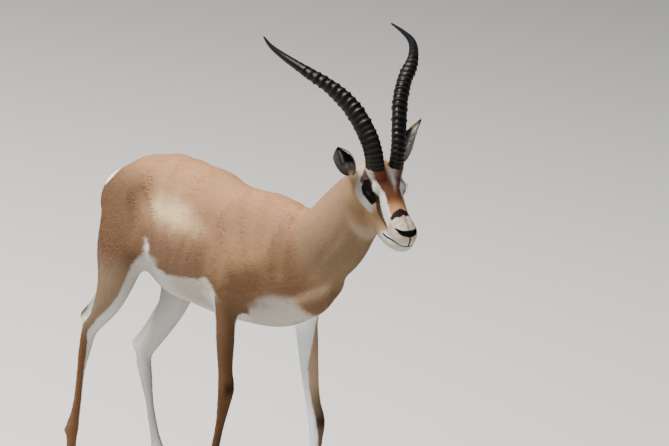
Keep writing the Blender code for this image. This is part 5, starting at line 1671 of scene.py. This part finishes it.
coatThings = []
corners = cornersOf(skinThing.data)
owner = coatOf(allSpots)
owner[len(skinSpots):] = list(coats).index("ears")
owner[len(allSpots) - rimCount:] = -1
for number, (name, values) in enumerate(coats.items()):
    taken = owner[corners]
    chosen = (taken == number).all(axis=1) | ((taken[:, 0] == number) & (taken >= 0).all(axis=1))
    weights = None
    if name == "head":
        weights = 1 + 1.6 * ease(0.02, 0.10, toHead(allSpots)[:, 0])
    roots, normals, colours = scatter(skinThing.data, [allNormals, allTints], chosen, values["count"], weights)
    lengths, ways = None, lieOf(roots)
    if name == "head":
        lengths = 1 - 0.55 * ease(0.03, 0.12, toHead(roots)[:, 0])
    if name == "tail":
        hang = ease(0.70, 0.60, roots[:, 2])
        lengths = 0.45 + 0.9 * hang
        ways = np.tile([0.0, 0.0, -1.0], (len(roots), 1))
        colours = colours + (np.array(tints["black"]) - colours) * ease(0.66, 0.63, roots[:, 2])[:, None]
    if name == "ears":
        ways = earWays(roots)
    tips = None
    if name not in ("ears", "tail"):
        colours = coatTint(roots, normals)
        reach = np.broadcast_to(values["length"] * 0.9 * (1 if lengths is None else lengths), len(roots))
        tips = coatTint(roots + ways * reach[:, None], normals)
    coatThings.append(growCoat(name, roots, normals, ways, colours, places(roots), values, lengths, tips))
lashRoots, lashWays, lashNormals = lashes()
lashTints = np.repeat([tints["black"]], len(lashRoots), axis=0)
coatThings.append(growCoat("lashes", lashRoots, lashNormals, lashWays, lashTints, places(lashRoots), lashLook))
print("coat grown", sum(len(thing.data.polygons) for thing in coatThings))

# the muzzle turns a little to the left, between from and to along the head, in front of the neck
muzzleTurn = {"by": 0.0050, "from": 0.085, "to": 0.150, "ahead": 0.22, "aside": 0.07, "down": -0.11}
for thing in (skinThing, *coatThings):
    h = toHead(readSpots(thing.data))
    inFront = (h[:, 0] < muzzleTurn["ahead"]) & (np.abs(h[:, 1]) < muzzleTurn["aside"])
    inFront &= h[:, 2] > muzzleTurn["down"]
    h[:, 1] += muzzleTurn["by"] * ease(muzzleTurn["from"], muzzleTurn["to"], h[:, 0]) * inFront
    writeSpots(thing.data, fromHead(h))

move = Matrix.Translation(drawingShift)
fleshNodes = [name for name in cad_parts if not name.startswith(("horn", "eye", "fore_claw", "hind_claw"))]
for thing in (skinThing, *coatThings):
    thing.data.transform(move)
    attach(thing, "root")
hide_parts(*fleshNodes)
for side, sign in sides.items():
    for thing, slot, nodes in (
        (makeEye(side, sign), "eye", ["eye_" + side]),
        (makeHorn(side, sign), "horn", ["horn_" + side]),
        (makeClaws("fore", side), "hoof", ["fore_claw_inner_" + side, "fore_claw_outer_" + side]),
        (makeClaws("hind", side), "hoof", ["hind_claw_inner_" + side, "hind_claw_outer_" + side]),
    ):
        thing.data.transform(move)
        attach(thing, "root")
        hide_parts(*nodes)
print("eyes, horns and hooves made")
